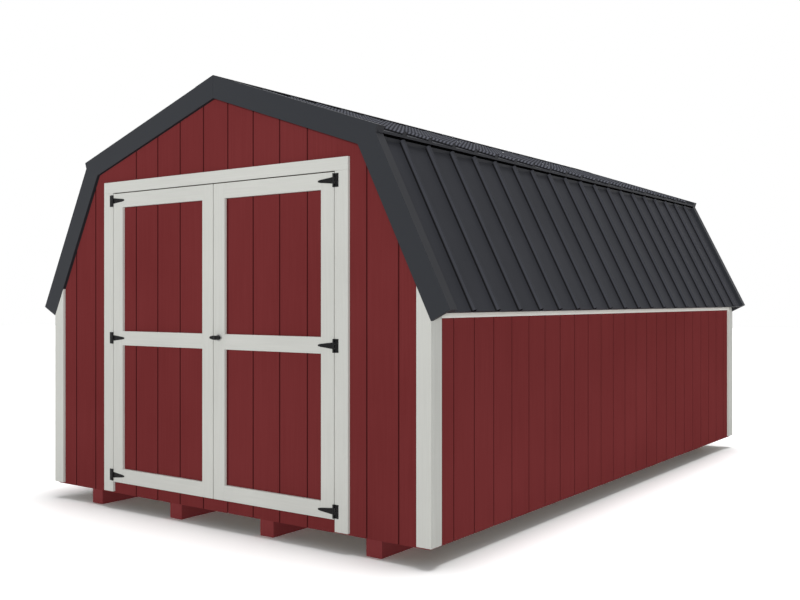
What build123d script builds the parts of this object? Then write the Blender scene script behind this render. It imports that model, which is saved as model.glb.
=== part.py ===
from build123d import *
import math
import os

# Overall sizes in millimetres. Heights are counted from the bottom edge of the siding,
# and depths from the face of the front siding. finish() moves both to the ground and the centre.
# The lower slope stands on its run, from the eave in to the knee, and climbs to the upper slope.
WALL_WIDTH = 3022.0
WALL_LENGTH = 4877.0
RIDGE_HEIGHT = 2547.0
UPPER_PITCH = 19.0
LOWER_RUN = 456.8
EAVE_HEIGHT = 1131.5

# Timber and sheet sizes
STUD = 38.0
STUD_DEPTH = 89.0
TRIM = 19.0
TRIM_WIDTH = 89.0
SIDING = 16.0
DOOR_SKIN = 9.5
DECK = 16.0
SHEATHING = 11.0
METAL = 1.5

# Skids and floor
SKID_SIZE = 102.0
SKID_SPACING = 760.0
SKID_COUNT = 4
SKID_SETBACK = 30.0
JOIST_SPACING = 406.4

# Siding grooves
GROOVE_SPACING = 203.2
GROOVE_WIDTH = 9.5
GROOVE_DEPTH = 6.0
SIDING_LAP = 75.0

# Walls and roof frame. The shortest bay is a share of the spacing.
SHORTEST_BAY = 0.3
STUD_SPACING = 406.4
HEADER_DEPTH = 140.0
RAFTER_BAYS = 8
RAFTER_SEAT = 40.0
GUSSET = 11.0
GUSSET_REACH = 230.0
GUSSET_INSET = 3.0

# Roof metal
RIB_HEIGHT = 25.0
RIB_PITCH = 244.0
RIB_FIRST = 229.0
RIB_TOP = 18.0
RIB_BASE = 44.0
RIDGE_GAP = 8.0
RIDGE_CAP_WIDTH = 150.0
KNEE_OVERHANG = 38.0
KNEE_CLEARANCE = 6.0
RAKE_THICKNESS = 21.0
RAKE_FLANGE = 45.0
RAKE_MITRE_GAP = 0.5
RAKE_LIP_START = 16.0
DRIP_RETURN = 15.0

# Trim boards
CORNER_RETURN = 79.0
TRIM_FOOT = 10.0
FRIEZE_HEIGHT = 184.0
FRIEZE_CLEARANCE = 2.0
HEADER_CASING = 70.0

# Doorway and doors. The door head is counted down from the ridge.
DOORWAY_WIDTH = 1828.8
DOOR_HEAD_DROP = 635.0
DOOR_BOTTOM = 74.0
DOOR_GAP = 6.0
MEETING_GAP = 7.0
FRAME_INSET = 15.0
FRAME_CLEARANCE = 6.0

# Hinges
PIN_RADIUS = 2.7
PIN_CLEARANCE = 0.3
BARREL_RADIUS = 5.7
PIN_STANDOFF = 6.0
LEAF = 3.0
LEAF_HEIGHT = 73.0
LEAF_WIDTH = 30.0
STRAP_LENGTH = 110.0
STRAP_BASE = 35.0
STRAP_TIP = 16.0
KNUCKLE_GAP = 0.5

# Lock, a little above the middle of the door
LOCK_RAISE = 24.0
SPINDLE_RADIUS = 6.0
SPINDLE_CLEARANCE = 0.3
ESCUTCHEON_RADIUS = 22.0
ESCUTCHEON = 3.0
BAR_LENGTH = 80.0
BAR_RADIUS = 6.5
BAR_STANDOFF = 31.0
BOSS_RADIUS = 9.0
BOSS_LENGTH = 10.0

# Places worked out from the sizes above
HALF = WALL_WIDTH / 2
FRAME_HALF = HALF - SIDING
DECK_TOP = STUD_DEPTH + DECK
BAND = STUD_DEPTH + SHEATHING + RIB_HEIGHT + METAL
RAFTER_OUT = STUD_DEPTH
SHEATH_OUT = STUD_DEPTH + SHEATHING
PAN_OUT = SHEATH_OUT + METAL
RIB_OUT = SHEATH_OUT + RIB_HEIGHT
EAVE_X = HALF + TRIM
PIN_X = DOORWAY_WIDTH / 2
PIN_Y = -TRIM - PIN_STANDOFF
OPENING_HALF = PIN_X + DOOR_GAP / 2
DOOR_EDGE = PIN_X - DOOR_GAP / 2
MEETING_EDGE = MEETING_GAP / 2
DOOR_TOP = RIDGE_HEIGHT - DOOR_HEAD_DROP
DOOR_MIDDLE = (DOOR_BOTTOM + DOOR_TOP) / 2
OPENING_TOP = DOOR_TOP + DOOR_GAP
SILL_TOP = DOOR_BOTTOM - DOOR_GAP
LOCK_X = MEETING_EDGE + TRIM_WIDTH / 2
LOCK_HEIGHT = DOOR_MIDDLE + LOCK_RAISE
FRONT_REACH = TRIM + BAR_STANDOFF + BOSS_LENGTH
TOTAL_LENGTH = FRONT_REACH + WALL_LENGTH + RAKE_THICKNESS
FRONT_Y = FRONT_REACH - TOTAL_LENGTH / 2

UP_SIN = math.sin(math.radians(UPPER_PITCH))
UP_COS = math.cos(math.radians(UPPER_PITCH))
KNEE_HEIGHT = RIDGE_HEIGHT - (BAND + (EAVE_X - LOWER_RUN) * UP_SIN) / UP_COS
LOWER_PITCH = math.atan2(KNEE_HEIGHT - EAVE_HEIGHT, LOWER_RUN)
LOW_SIN = math.sin(LOWER_PITCH)
LOW_COS = math.cos(LOWER_PITCH)


def block(x, y, z):
    """Box between two x, two y and two z values."""
    size = Box(x[1] - x[0], y[1] - y[0], z[1] - z[0], align=(Align.MIN, Align.MIN, Align.MIN))
    return Pos(x[0], y[0], z[0]) * size


def prism(points, y):
    """Outline in the plane of the gable, carried from one depth to another."""
    outline = Polyline([(px, y[0], pz) for px, pz in points], close=True)
    return extrude(make_face(outline), amount=y[1] - y[0], dir=(0, 1, 0))


def rod(radius, start, end):
    """Round bar from one point to another."""
    axis = Vector(*end) - Vector(*start)
    base = Plane(origin=start, z_dir=axis)
    return extrude(base * Circle(radius), amount=axis.length)


def left_of(shape):
    """The same piece on the other side of the centre line."""
    return mirror(shape, about=Plane.YZ)


def back_of(shape):
    """The same piece at the back wall."""
    return mirror(shape, about=Plane.XZ.offset(-WALL_LENGTH / 2))


def finish(name, *shapes):
    """Stand the pieces on the ground, centred, and write them as one node."""
    placed = [Pos(0, FRONT_Y, SKID_SIZE) * shape for shape in shapes]
    solids = [solid for shape in placed for solid in shape.solids()]
    export_step(solids[0] if len(solids) == 1 else Compound(solids), f"parts/{name}.step")


# Roof lines. Offset counts square to the slope, outwards from the underside of the rafters.


def upper_z(x, offset):
    """Height of the upper slope at a distance from the centre line."""
    return RIDGE_HEIGHT - (BAND - offset) / UP_COS - x * UP_SIN / UP_COS


def lower_z(x, offset):
    """Height of the lower slope at a distance from the centre line."""
    return EAVE_HEIGHT + (EAVE_X + offset / LOW_SIN - x) * LOW_SIN / LOW_COS


def lower_x(z, offset):
    """Distance from the centre line of the lower slope at a height."""
    return EAVE_X + offset / LOW_SIN - (z - EAVE_HEIGHT) * LOW_COS / LOW_SIN


def knee(upper, lower):
    """Where the upper slope at one offset crosses the lower slope at another."""
    rise = lower_z(0, lower) - upper_z(0, upper)
    x = rise / (LOW_SIN / LOW_COS - UP_SIN / UP_COS)
    return x, upper_z(x, upper)


def eave(offset, back=0):
    """Point on the square cut at the eave, or a distance back up the slope from it."""
    x = EAVE_X + offset * LOW_SIN - back * LOW_COS
    return x, EAVE_HEIGHT + offset * LOW_COS + back * LOW_SIN


def knee_edge(offset, back=0):
    """Point on the upper roof's square end beyond the knee, or a distance back up from it."""
    top_x = knee(BAND, BAND)[0] + KNEE_OVERHANG
    x = top_x - (BAND - offset) * UP_SIN - back * UP_COS
    return x, upper_z(x, offset)


def lower_top(offset):
    """Point on the square top end of the lower sheets, tucked under the upper ones."""
    x, z = knee(SHEATH_OUT, RIB_OUT)
    x += KNEE_CLEARANCE * LOW_COS
    z -= KNEE_CLEARANCE * LOW_SIN
    drop = RIB_OUT - offset
    return x - drop * LOW_SIN, z - drop * LOW_COS


def gambrel(offset, bottom, left=-2 * HALF, right=2 * HALF):
    """Closed outline below the roof lines and above a height, between two x values."""
    corners = [(lower_x(bottom, offset), bottom), knee(offset, offset), (0, upper_z(0, offset))]
    corners += [(-x, z) for x, z in corners[1::-1]]
    area = make_face(Polyline([(x, z) for x, z in corners], close=True))
    window = Pos((left + right) / 2, RIDGE_HEIGHT / 2) * Rectangle(right - left, RIDGE_HEIGHT)
    return area & window


def gable_prism(offset, bottom, y, left=-2 * HALF, right=2 * HALF):
    """Everything under the roof lines, between two depths."""
    plane = Plane(origin=(0, y[0], 0), x_dir=(1, 0, 0), z_dir=(0, -1, 0))
    return extrude(plane * gambrel(offset, bottom, left, right), amount=y[0] - y[1])


# Base


def skids():
    """Square runners along the whole length, set back a little at both ends."""
    first = -SKID_SPACING * (SKID_COUNT - 1) / 2
    runners = []
    for number in range(SKID_COUNT):
        x = first + number * SKID_SPACING
        across = (x - SKID_SIZE / 2, x + SKID_SIZE / 2)
        runners.append(block(across, (SKID_SETBACK, WALL_LENGTH - SKID_SETBACK), (-SKID_SIZE, 0)))
    return runners


def stations(start, end, spacing):
    """Centres of members at a spacing, from one flush with the start to one flush with the end."""
    count = int((end - start) / spacing - SHORTEST_BAY)
    between = [start + spacing * (number + 1) for number in range(count)]
    return [start + STUD / 2] + between + [end - STUD / 2]


def floor_rims():
    """Boards on edge along the two long sides of the floor."""
    right = block((FRAME_HALF - STUD, FRAME_HALF), (SIDING, WALL_LENGTH - SIDING), (0, STUD_DEPTH))
    return [right, left_of(right)]


def floor_joists():
    """Boards on edge across the floor, between the rims."""
    x = (STUD - FRAME_HALF, FRAME_HALF - STUD)
    middles = stations(SIDING, WALL_LENGTH - SIDING, JOIST_SPACING)
    return [block(x, (middle - STUD / 2, middle + STUD / 2), (0, STUD_DEPTH)) for middle in middles]


def floor_deck():
    """Sheet floor over the whole frame."""
    return block((-FRAME_HALF, FRAME_HALF), (SIDING, WALL_LENGTH - SIDING), (STUD_DEPTH, DECK_TOP))


# Siding


def grooved_panel(u, z, thickness, grooves):
    """Sheet with upright grooves, its face at depth zero, between two u and two z values."""
    margin = GROOVE_WIDTH
    face = [(u[0], thickness), (u[0], 0)]
    for centre in grooves:
        if u[0] + margin < centre < u[1] - margin:
            start, end = centre - GROOVE_WIDTH / 2, centre + GROOVE_WIDTH / 2
            face += [(start, 0), (start, GROOVE_DEPTH), (end, GROOVE_DEPTH), (end, 0)]
    face += [(u[1], 0), (u[1], thickness)]
    outline = Polyline([(px, py, z[0]) for px, py in face], close=True)
    return extrude(make_face(outline), amount=z[1] - z[0], dir=(0, 0, 1))


def front_grooves():
    """Groove centres across the front, a board's middle on the centre line."""
    half_count = int(HALF / GROOVE_SPACING + 0.5)
    right = [GROOVE_SPACING * (number + 0.5) for number in range(half_count)]
    return [-x for x in reversed(right)] + right


def side_grooves():
    """Groove centres along a side, counted from the front edge of its siding."""
    return [GROOVE_SPACING * (number + 1) for number in range(int(WALL_LENGTH / GROOVE_SPACING))]


def gable_siding(x, bottom):
    """Part of a gable wall between two x values, from a height up to the roof sheathing."""
    sheet = grooved_panel(x, (bottom, RIDGE_HEIGHT), SIDING, front_grooves())
    return sheet & gable_prism(RAFTER_OUT, bottom, (0, SIDING), x[0], x[1])


def door_sill_siding():
    """Strip of siding under the doors."""
    return grooved_panel((-OPENING_HALF, OPENING_HALF), (0, SILL_TOP), SIDING, front_grooves())


def side_siding():
    """Siding of the right long wall, between the two gable walls and up behind the frieze."""
    length = WALL_LENGTH - 2 * SIDING
    top = frieze_top() - FRIEZE_HEIGHT + SIDING_LAP
    sheet = grooved_panel((0, length), (0, top), SIDING, side_grooves())
    return Pos(HALF, SIDING, 0) * Rot(0, 0, 90) * sheet


# Wall frames


def upright(x, y, z):
    """One stud on its edge, centred on x."""
    return block((x - STUD / 2, x + STUD / 2), y, z)


def front_frame_side():
    """Frame beside the doorway on the right: plate, corner stud, middle stud, king and trimmer."""
    y = (SIDING, SIDING + STUD_DEPTH)
    trimmer = OPENING_HALF + STUD / 2
    king = trimmer + STUD
    corner = FRAME_HALF - STUD / 2
    frame = block((OPENING_HALF, FRAME_HALF), y, (DECK_TOP, DECK_TOP + STUD))
    pieces = [upright(x, y, (DECK_TOP, RIDGE_HEIGHT)) for x in (king, (king + corner) / 2, corner)]
    cut = gable_prism(0, DECK_TOP, y)
    shape = frame
    for piece in pieces:
        shape += piece & cut
    return shape + upright(trimmer, y, (DECK_TOP, OPENING_TOP))


def gable_studs(y, bottom):
    """Studs at the usual spacing from a height up to the rafters, on both sides of the centre."""
    cut = gable_prism(0, bottom, y)
    half_count = int((FRAME_HALF - STUD) / STUD_SPACING + 0.5)
    places = [STUD_SPACING * (number + 0.5) for number in range(half_count)]
    return [upright(side * x, y, (bottom, RIDGE_HEIGHT)) & cut for x in places for side in (-1, 1)]


def front_frame_gable():
    """Door header on the trimmers, with short studs above it."""
    y = (SIDING, SIDING + STUD_DEPTH)
    reach = OPENING_HALF + STUD
    top = OPENING_TOP + HEADER_DEPTH
    shape = block((-reach, reach), y, (OPENING_TOP, top))
    cut = gable_prism(0, top, y)
    for number in range(int(reach / STUD_SPACING + 0.5)):
        for side in (-1, 1):
            x = side * STUD_SPACING * (number + 0.5)
            shape += upright(x, y, (top, RIDGE_HEIGHT)) & cut
    return shape


def back_frame():
    """Frame of the closed gable wall."""
    y = (WALL_LENGTH - SIDING - STUD_DEPTH, WALL_LENGTH - SIDING)
    cut = gable_prism(0, DECK_TOP, y)
    shape = block((-FRAME_HALF, FRAME_HALF), y, (DECK_TOP, DECK_TOP + STUD))
    for piece in gable_studs(y, DECK_TOP):
        shape += piece
    corner = FRAME_HALF - STUD / 2
    for side in (-1, 1):
        shape += upright(side * corner, y, (DECK_TOP, RIDGE_HEIGHT)) & cut
    return shape


def plate_top():
    """Height of the top plate, which gives the lower rafters their seat."""
    return lower_z(FRAME_HALF - RAFTER_SEAT, 0)


def side_plates():
    """Bottom and top plates of the two long walls, between the gable walls' frames."""
    ends = SIDING + STUD_DEPTH
    plates = []
    for z in (DECK_TOP, plate_top() - STUD):
        right = block((FRAME_HALF - STUD_DEPTH, FRAME_HALF), (ends, WALL_LENGTH - ends), (z, z + STUD))
        plates += [right, left_of(right)]
    return plates


def side_studs():
    """Studs of the two long walls, between their plates."""
    x = (FRAME_HALF - STUD_DEPTH, FRAME_HALF)
    z = (DECK_TOP + STUD, plate_top() - STUD)
    ends = SIDING + STUD_DEPTH
    right = [
        block(x, (middle - STUD / 2, middle + STUD / 2), z)
        for middle in stations(ends, WALL_LENGTH - ends, STUD_SPACING)
    ]
    return right + [left_of(stud) for stud in right]


# Roof frame


def rafter_places():
    """Front faces of the rafters, the first and last flush with the wall frames."""
    last = WALL_LENGTH - SIDING - STUD
    step = (last - SIDING) / RAFTER_BAYS
    return [SIDING + step * number for number in range(RAFTER_BAYS + 1)]


def upper_rafters():
    """Upper rafters from the ridge board to the knee, on both sides."""
    face = STUD / 2
    points = [(face, upper_z(face, 0)), (face, upper_z(face, RAFTER_OUT))]
    points += [knee(RAFTER_OUT, RAFTER_OUT), knee(0, 0)]
    right = [prism(points, (y, y + STUD)) for y in rafter_places()]
    return right + [left_of(rafter) for rafter in right]


def lower_rafters():
    """Lower rafters from the knee to the top plate, with a level seat and a plumb heel."""
    points = [knee(0, 0), knee(RAFTER_OUT, RAFTER_OUT), (FRAME_HALF, lower_z(FRAME_HALF, RAFTER_OUT))]
    points += [(FRAME_HALF, plate_top()), (FRAME_HALF - RAFTER_SEAT, plate_top())]
    right = [prism(points, (y, y + STUD)) for y in rafter_places()]
    return right + [left_of(rafter) for rafter in right]


def ridge_bottom():
    """Height of the underside of the ridge board."""
    return upper_z(STUD / 2, RAFTER_OUT) - STUD_DEPTH


def ridge_board():
    """Board between the upper rafters."""
    z = (ridge_bottom(), ridge_bottom() + STUD_DEPTH)
    return block((-STUD / 2, STUD / 2), (SIDING, WALL_LENGTH - SIDING), z)


def gussets():
    """Plates over the knee and ridge joints of every rafter pair but the two end ones."""
    top = RAFTER_OUT - GUSSET_INSET
    knee_x = knee(0, 0)[0]
    upper = knee_x - GUSSET_REACH * UP_COS
    low = knee(0, 0)[1] - GUSSET_REACH * LOW_SIN
    knee_plate = [(upper, upper_z(upper, 0)), (upper, upper_z(upper, top)), knee(top, top)]
    knee_plate += [(lower_x(low, top), low), (lower_x(low, 0), low)]
    ridge_plate = [(GUSSET_REACH, upper_z(GUSSET_REACH, 0)), (GUSSET_REACH, upper_z(GUSSET_REACH, top))]
    ridge_plate += [(0, upper_z(0, top))]
    ridge_plate += [(-x, z) for x, z in ridge_plate[1::-1]]
    slot = block((-STUD / 2, STUD / 2), (0, WALL_LENGTH), (ridge_bottom(), RIDGE_HEIGHT))
    plates = []
    for place in rafter_places()[1:-1]:
        y = (place + STUD, place + STUD + GUSSET)
        right = prism(knee_plate, y)
        plates += [right, left_of(right), prism(ridge_plate, y) - slot]
    return plates


# Roof covering


def upper_sheathing():
    """Sheathing of the right upper slope."""
    gap = RIDGE_GAP / 2
    points = [(gap, upper_z(gap, RAFTER_OUT)), (gap, upper_z(gap, SHEATH_OUT))]
    points += [knee(SHEATH_OUT, SHEATH_OUT), knee(RAFTER_OUT, RAFTER_OUT)]
    return prism(points, (0, WALL_LENGTH))


def lower_sheathing():
    """Sheathing of the right lower slope, down to the eave."""
    points = [knee(RAFTER_OUT, RAFTER_OUT), knee(SHEATH_OUT, SHEATH_OUT)]
    points += [eave(SHEATH_OUT, METAL), eave(RAFTER_OUT, METAL)]
    return prism(points, (0, WALL_LENGTH))


def rib_centres():
    """Places of the ribs between the two rake trims."""
    room = WALL_LENGTH - RAKE_FLANGE - RIB_BASE / 2 - RIB_FIRST
    return [RIB_FIRST + RIB_PITCH * number for number in range(int(room / RIB_PITCH) + 1)]


def ribbed_sheet(start, direction, length):
    """Roof metal with hollow ribs, its section carried down the slope from a point."""
    top = [(0, METAL)]
    under = [(0, 0)]
    for centre in rib_centres():
        for sign in (-1, 1):
            corners = [(RIB_BASE / 2, METAL), (RIB_TOP / 2, RIB_HEIGHT)]
            hollow = [(RIB_BASE / 2 - METAL, 0), (RIB_TOP / 2 - METAL / 2, RIB_HEIGHT - METAL)]
            step = 1 if sign < 0 else -1
            top += [(centre + sign * px, pz) for px, pz in corners[::step]]
            under += [(centre + sign * px, pz) for px, pz in hollow[::step]]
    top.append((WALL_LENGTH, METAL))
    under.append((WALL_LENGTH, 0))
    section = make_face(Polyline(under + top[::-1], close=True))
    plane = Plane(origin=(start[0], 0, start[1]), x_dir=(0, 1, 0), z_dir=direction)
    return extrude(plane * section, amount=length)


def upper_metal():
    """Ribbed metal of the right upper slope."""
    start = (RIDGE_GAP, upper_z(RIDGE_GAP, SHEATH_OUT))
    length = (knee_edge(SHEATH_OUT)[0] - RIDGE_GAP) / UP_COS
    return ribbed_sheet(start, (UP_COS, 0, -UP_SIN), length)


def lower_metal():
    """Ribbed metal of the right lower slope."""
    start = lower_top(SHEATH_OUT)
    length = (start[1] - eave(SHEATH_OUT)[1]) / LOW_SIN
    return ribbed_sheet(start, (LOW_COS, 0, -LOW_SIN), length)


def knee_flashing():
    """Angle under the lower edge of the upper sheets, its drip leg hanging over the lower ribs."""
    edge = knee_edge(SHEATH_OUT)[0]
    inside = edge - METAL
    foot = lower_z(inside, BAND) + KNEE_CLEARANCE
    points = [knee(SHEATH_OUT, SHEATH_OUT), knee_edge(SHEATH_OUT), (edge, foot), (inside, foot)]
    points += [(inside, upper_z(inside, SHEATH_OUT - METAL)), knee(SHEATH_OUT - METAL, SHEATH_OUT)]
    return prism(points, (0, WALL_LENGTH))


def ridge_cap():
    """Bent strip over the ridge, from gable to gable."""
    def line(offset):
        edge = RIDGE_CAP_WIDTH
        half = [(edge, upper_z(edge, offset)), (0, upper_z(0, offset))]
        return half + [(-edge, half[0][1])]

    points = line(BAND + METAL) + line(BAND)[::-1]
    return prism(points, (-RAKE_THICKNESS, WALL_LENGTH + RAKE_THICKNESS))


def eave_drip():
    """Angle over the end of the lower sheathing, turned back under it."""
    points = [eave(SHEATH_OUT), eave(SHEATH_OUT, METAL), eave(RAFTER_OUT, METAL)]
    points += [eave(RAFTER_OUT, METAL + DRIP_RETURN), eave(RAFTER_OUT - METAL, METAL + DRIP_RETURN)]
    points += [eave(RAFTER_OUT - METAL)]
    return prism(points, (0, WALL_LENGTH))


def rake_upper():
    """Upper rake trim at the front right: face, top flange, lip down to the sheet and end tab."""
    ridge = RAKE_MITRE_GAP
    outer = knee(BAND, BAND)
    square = knee_edge(BAND)
    slope = (square[0] - knee_edge(0)[0], square[1] - knee_edge(0)[1])
    drop = (square[1] - lower_z(square[0], BAND)) / (slope[1] + slope[0] * LOW_SIN / LOW_COS)
    foot = (square[0] - slope[0] * drop, square[1] - slope[1] * drop)
    face = [(ridge, upper_z(ridge, 0)), (ridge, upper_z(ridge, BAND)), square, foot, outer, knee(0, 0)]
    flange = [(ridge, upper_z(ridge, RIB_OUT)), (ridge, upper_z(ridge, BAND)), square, knee_edge(RIB_OUT)]
    start = RAKE_LIP_START
    lip = [(start, upper_z(start, PAN_OUT)), (start, upper_z(start, BAND))]
    lip += [square, knee_edge(PAN_OUT)]
    tab = [square, knee_edge(PAN_OUT), knee_edge(PAN_OUT, METAL), knee_edge(BAND, METAL)]
    shape = prism(face, (-RAKE_THICKNESS, 0)) + prism(flange, (0, RAKE_FLANGE))
    return shape + prism(lip, (RAKE_FLANGE - METAL, RAKE_FLANGE)) + prism(tab, (0, RAKE_FLANGE))


def rake_lower():
    """Lower rake trim at the front right, from the knee to the square cut at the eave."""
    face = [knee(0, 0), knee(BAND, BAND), eave(BAND), eave(0)]
    flange = [lower_top(RIB_OUT), lower_top(BAND), eave(BAND), eave(RIB_OUT)]
    lip = [lower_top(PAN_OUT), lower_top(BAND), eave(BAND), eave(PAN_OUT)]
    tab = [eave(BAND), eave(PAN_OUT), eave(PAN_OUT, METAL), eave(BAND, METAL)]
    shape = prism(face, (-RAKE_THICKNESS, 0)) + prism(flange, (0, RAKE_FLANGE))
    return shape + prism(lip, (RAKE_FLANGE - METAL, RAKE_FLANGE)) + prism(tab, (0, RAKE_FLANGE))


# Trim boards


def frieze_top():
    """Top of the frieze and corner boards, just under the sheathing."""
    return lower_z(EAVE_X, RAFTER_OUT) - FRIEZE_CLEARANCE


def frieze():
    """Board under the right eave, between the corner boards."""
    top = frieze_top()
    y = (CORNER_RETURN, WALL_LENGTH - CORNER_RETURN)
    return block((HALF, EAVE_X), y, (top - FRIEZE_HEIGHT, top))


def corner_boards():
    """Two boards round the front right corner, the front one cut along the rake trim."""
    inner = EAVE_X - TRIM_WIDTH
    front = [(inner, TRIM_FOOT), (EAVE_X, TRIM_FOOT)]
    front += [(EAVE_X, lower_z(EAVE_X, 0)), (inner, lower_z(inner, 0))]
    side = block((HALF, EAVE_X), (0, CORNER_RETURN), (TRIM_FOOT, frieze_top()))
    return prism(front, (-TRIM, 0)) + side


def jamb_casing():
    """Casing at the right of the doorway, cut along the rake trim where it reaches that high."""
    board = block((OPENING_HALF, OPENING_HALF + TRIM_WIDTH), (-TRIM, 0), (TRIM_FOOT, OPENING_TOP))
    return board & gable_prism(0, TRIM_FOOT, (-TRIM, 0))


def header_casing():
    """Casing over the doorway, on top of the two jamb casings and within the rake trims."""
    reach = OPENING_HALF + TRIM_WIDTH
    board = block((-reach, reach), (-TRIM, 0), (OPENING_TOP, OPENING_TOP + HEADER_CASING))
    return board & gable_prism(0, OPENING_TOP, (-TRIM, 0))


# Doors, drawn as the right one


def lock_bore(radius, y):
    """Round hole for the lock's spindle, between two depths."""
    return rod(radius, (LOCK_X, y[0], LOCK_HEIGHT), (LOCK_X, y[1], LOCK_HEIGHT))


def rail_places():
    """Bottom and top edges of the three rails."""
    bottoms = (DOOR_BOTTOM, DOOR_MIDDLE - TRIM_WIDTH / 2, DOOR_TOP - TRIM_WIDTH)
    return [(z, z + TRIM_WIDTH) for z in bottoms]


def face_frame(x, y, rails):
    """Boards round a door leaf with a rail across the middle, made as one frame."""
    panel = block(x, y, (rails[0][0], rails[-1][1]))
    inner = (x[0] + TRIM_WIDTH, x[1] - TRIM_WIDTH)
    return panel - [block(inner, y, (low[1], high[0])) for low, high in zip(rails, rails[1:])]


def door_panel():
    """Grooved skin of the leaf, its grooves in line with those of the wall."""
    return grooved_panel((MEETING_EDGE, DOOR_EDGE), (DOOR_BOTTOM, DOOR_TOP), DOOR_SKIN, front_grooves())


def door_trim():
    """Boards on the face of the leaf."""
    return face_frame((MEETING_EDGE, DOOR_EDGE), (-TRIM, 0), rail_places())


def door_frame():
    """Boards behind the skin, clear of the floor and short of the meeting edge."""
    foot = DECK_TOP + FRAME_CLEARANCE
    rails = [(foot, foot + TRIM_WIDTH)] + rail_places()[1:]
    x = (MEETING_EDGE + FRAME_INSET, DOOR_EDGE)
    return face_frame(x, (DOOR_SKIN, DOOR_SKIN + STUD), rails)


def hinge_heights():
    """Middle heights of the three hinges, one on each rail."""
    return [(low + high) / 2 for low, high in rail_places()]


def knuckle(z):
    """Part of the hinge barrel between two heights."""
    return rod(BARREL_RADIUS, (PIN_X, PIN_Y, z[0]), (PIN_X, PIN_Y, z[1]))


def hinge_leaves():
    """Leaves on the casing, each with the pin and the two outer knuckles."""
    leaves = []
    plate_y = (-TRIM - LEAF, -TRIM)
    near = PIN_X + PIN_STANDOFF + KNUCKLE_GAP
    for middle in hinge_heights():
        low, high = middle - LEAF_HEIGHT / 2, middle + LEAF_HEIGHT / 2
        leaf = block((near, PIN_X + LEAF_WIDTH), plate_y, (low, high))
        space = STRAP_BASE / 2 + KNUCKLE_GAP
        for z in ((low, middle - space), (middle + space, high)):
            leaf += knuckle(z) + block((PIN_X, near), (plate_y[0], -TRIM - KNUCKLE_GAP), z)
        leaves.append(leaf + rod(PIN_RADIUS, (PIN_X, PIN_Y, low), (PIN_X, PIN_Y, high)))
    return leaves


def hinge_straps():
    """Tapered straps on the leaf, each with the middle knuckle round the pin."""
    straps = []
    near = PIN_X - PIN_STANDOFF - KNUCKLE_GAP
    tip = PIN_X - STRAP_LENGTH
    for middle in hinge_heights():
        low, high = middle - STRAP_BASE / 2, middle + STRAP_BASE / 2
        outline = [(near, low), (near, high), (tip + STRAP_TIP, middle + STRAP_TIP / 2)]
        outline += [(tip, middle + STRAP_TIP / 4), (tip, middle - STRAP_TIP / 4)]
        outline += [(tip + STRAP_TIP, middle - STRAP_TIP / 2)]
        strap = prism(outline, (-TRIM - LEAF, -TRIM))
        strap += block((near, PIN_X), (-TRIM - LEAF, -TRIM - KNUCKLE_GAP), (low, high))
        strap += knuckle((low, high))
        bore = rod(PIN_RADIUS + PIN_CLEARANCE, (PIN_X, PIN_Y, low), (PIN_X, PIN_Y, high))
        straps.append(strap - bore)
    return straps


def escutcheon():
    """Round plate behind the handle."""
    plate = rod(ESCUTCHEON_RADIUS, (LOCK_X, -TRIM, LOCK_HEIGHT), (LOCK_X, -TRIM - ESCUTCHEON, LOCK_HEIGHT))
    return plate - lock_bore(SPINDLE_RADIUS + SPINDLE_CLEARANCE, (-TRIM, -TRIM - ESCUTCHEON))


def t_handle():
    """Cross bar on a spindle that turns in the stile, with the key boss in front."""
    bar_y = -TRIM - BAR_STANDOFF
    spindle = rod(SPINDLE_RADIUS, (LOCK_X, DOOR_SKIN - METAL, LOCK_HEIGHT), (LOCK_X, bar_y, LOCK_HEIGHT))
    left, right = LOCK_X - BAR_LENGTH / 2, LOCK_X + BAR_LENGTH / 2
    bar = rod(BAR_RADIUS, (left, bar_y, LOCK_HEIGHT), (right, bar_y, LOCK_HEIGHT))
    boss = rod(BOSS_RADIUS, (LOCK_X, bar_y, LOCK_HEIGHT), (LOCK_X, -FRONT_REACH, LOCK_HEIGHT))
    return spindle + bar + boss


def write_base():
    """Skids and floor."""
    finish("skids", *skids())
    finish("floor_rims", *floor_rims())
    finish("floor_joists", *floor_joists())
    finish("floor_deck", floor_deck())


def write_walls():
    """Siding and wall frames."""
    beside = gable_siding((OPENING_HALF, HALF), 0)
    finish("front_siding_right", beside)
    finish("front_siding_left", left_of(beside))
    finish("front_siding_gable", gable_siding((-OPENING_HALF, OPENING_HALF), OPENING_TOP))
    finish("front_siding_sill", door_sill_siding())
    finish("back_siding", back_of(gable_siding((-HALF, HALF), 0)))
    long_wall = side_siding()
    finish("right_siding", long_wall)
    finish("left_siding", left_of(long_wall))
    beside = front_frame_side()
    finish("front_frame_right", beside)
    finish("front_frame_left", left_of(beside))
    finish("front_frame_gable", front_frame_gable())
    finish("back_frame", back_frame())
    finish("side_wall_plates", *side_plates())
    finish("side_wall_studs", *side_studs())


def write_roof():
    """Rafters, sheathing, metal and roof trims."""
    finish("upper_rafters", *upper_rafters())
    finish("lower_rafters", *lower_rafters())
    finish("ridge_board", ridge_board())
    finish("roof_gussets", *gussets())
    finish("upper_sheathing", upper_sheathing(), left_of(upper_sheathing()))
    finish("lower_sheathing", lower_sheathing(), left_of(lower_sheathing()))
    finish("roof_metal_upper_right", upper_metal())
    finish("roof_metal_upper_left", left_of(upper_metal()))
    finish("roof_metal_lower_right", lower_metal())
    finish("roof_metal_lower_left", left_of(lower_metal()))
    finish("knee_flashings", knee_flashing(), left_of(knee_flashing()))
    finish("ridge_cap", ridge_cap())
    finish("eave_drip_edges", eave_drip(), left_of(eave_drip()))
    upper, lower = rake_upper(), rake_lower()
    finish("front_rake_upper", upper, left_of(upper))
    finish("front_rake_lower", lower, left_of(lower))
    finish("back_rake_upper", back_of(upper), back_of(left_of(upper)))
    finish("back_rake_lower", back_of(lower), back_of(left_of(lower)))


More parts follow.
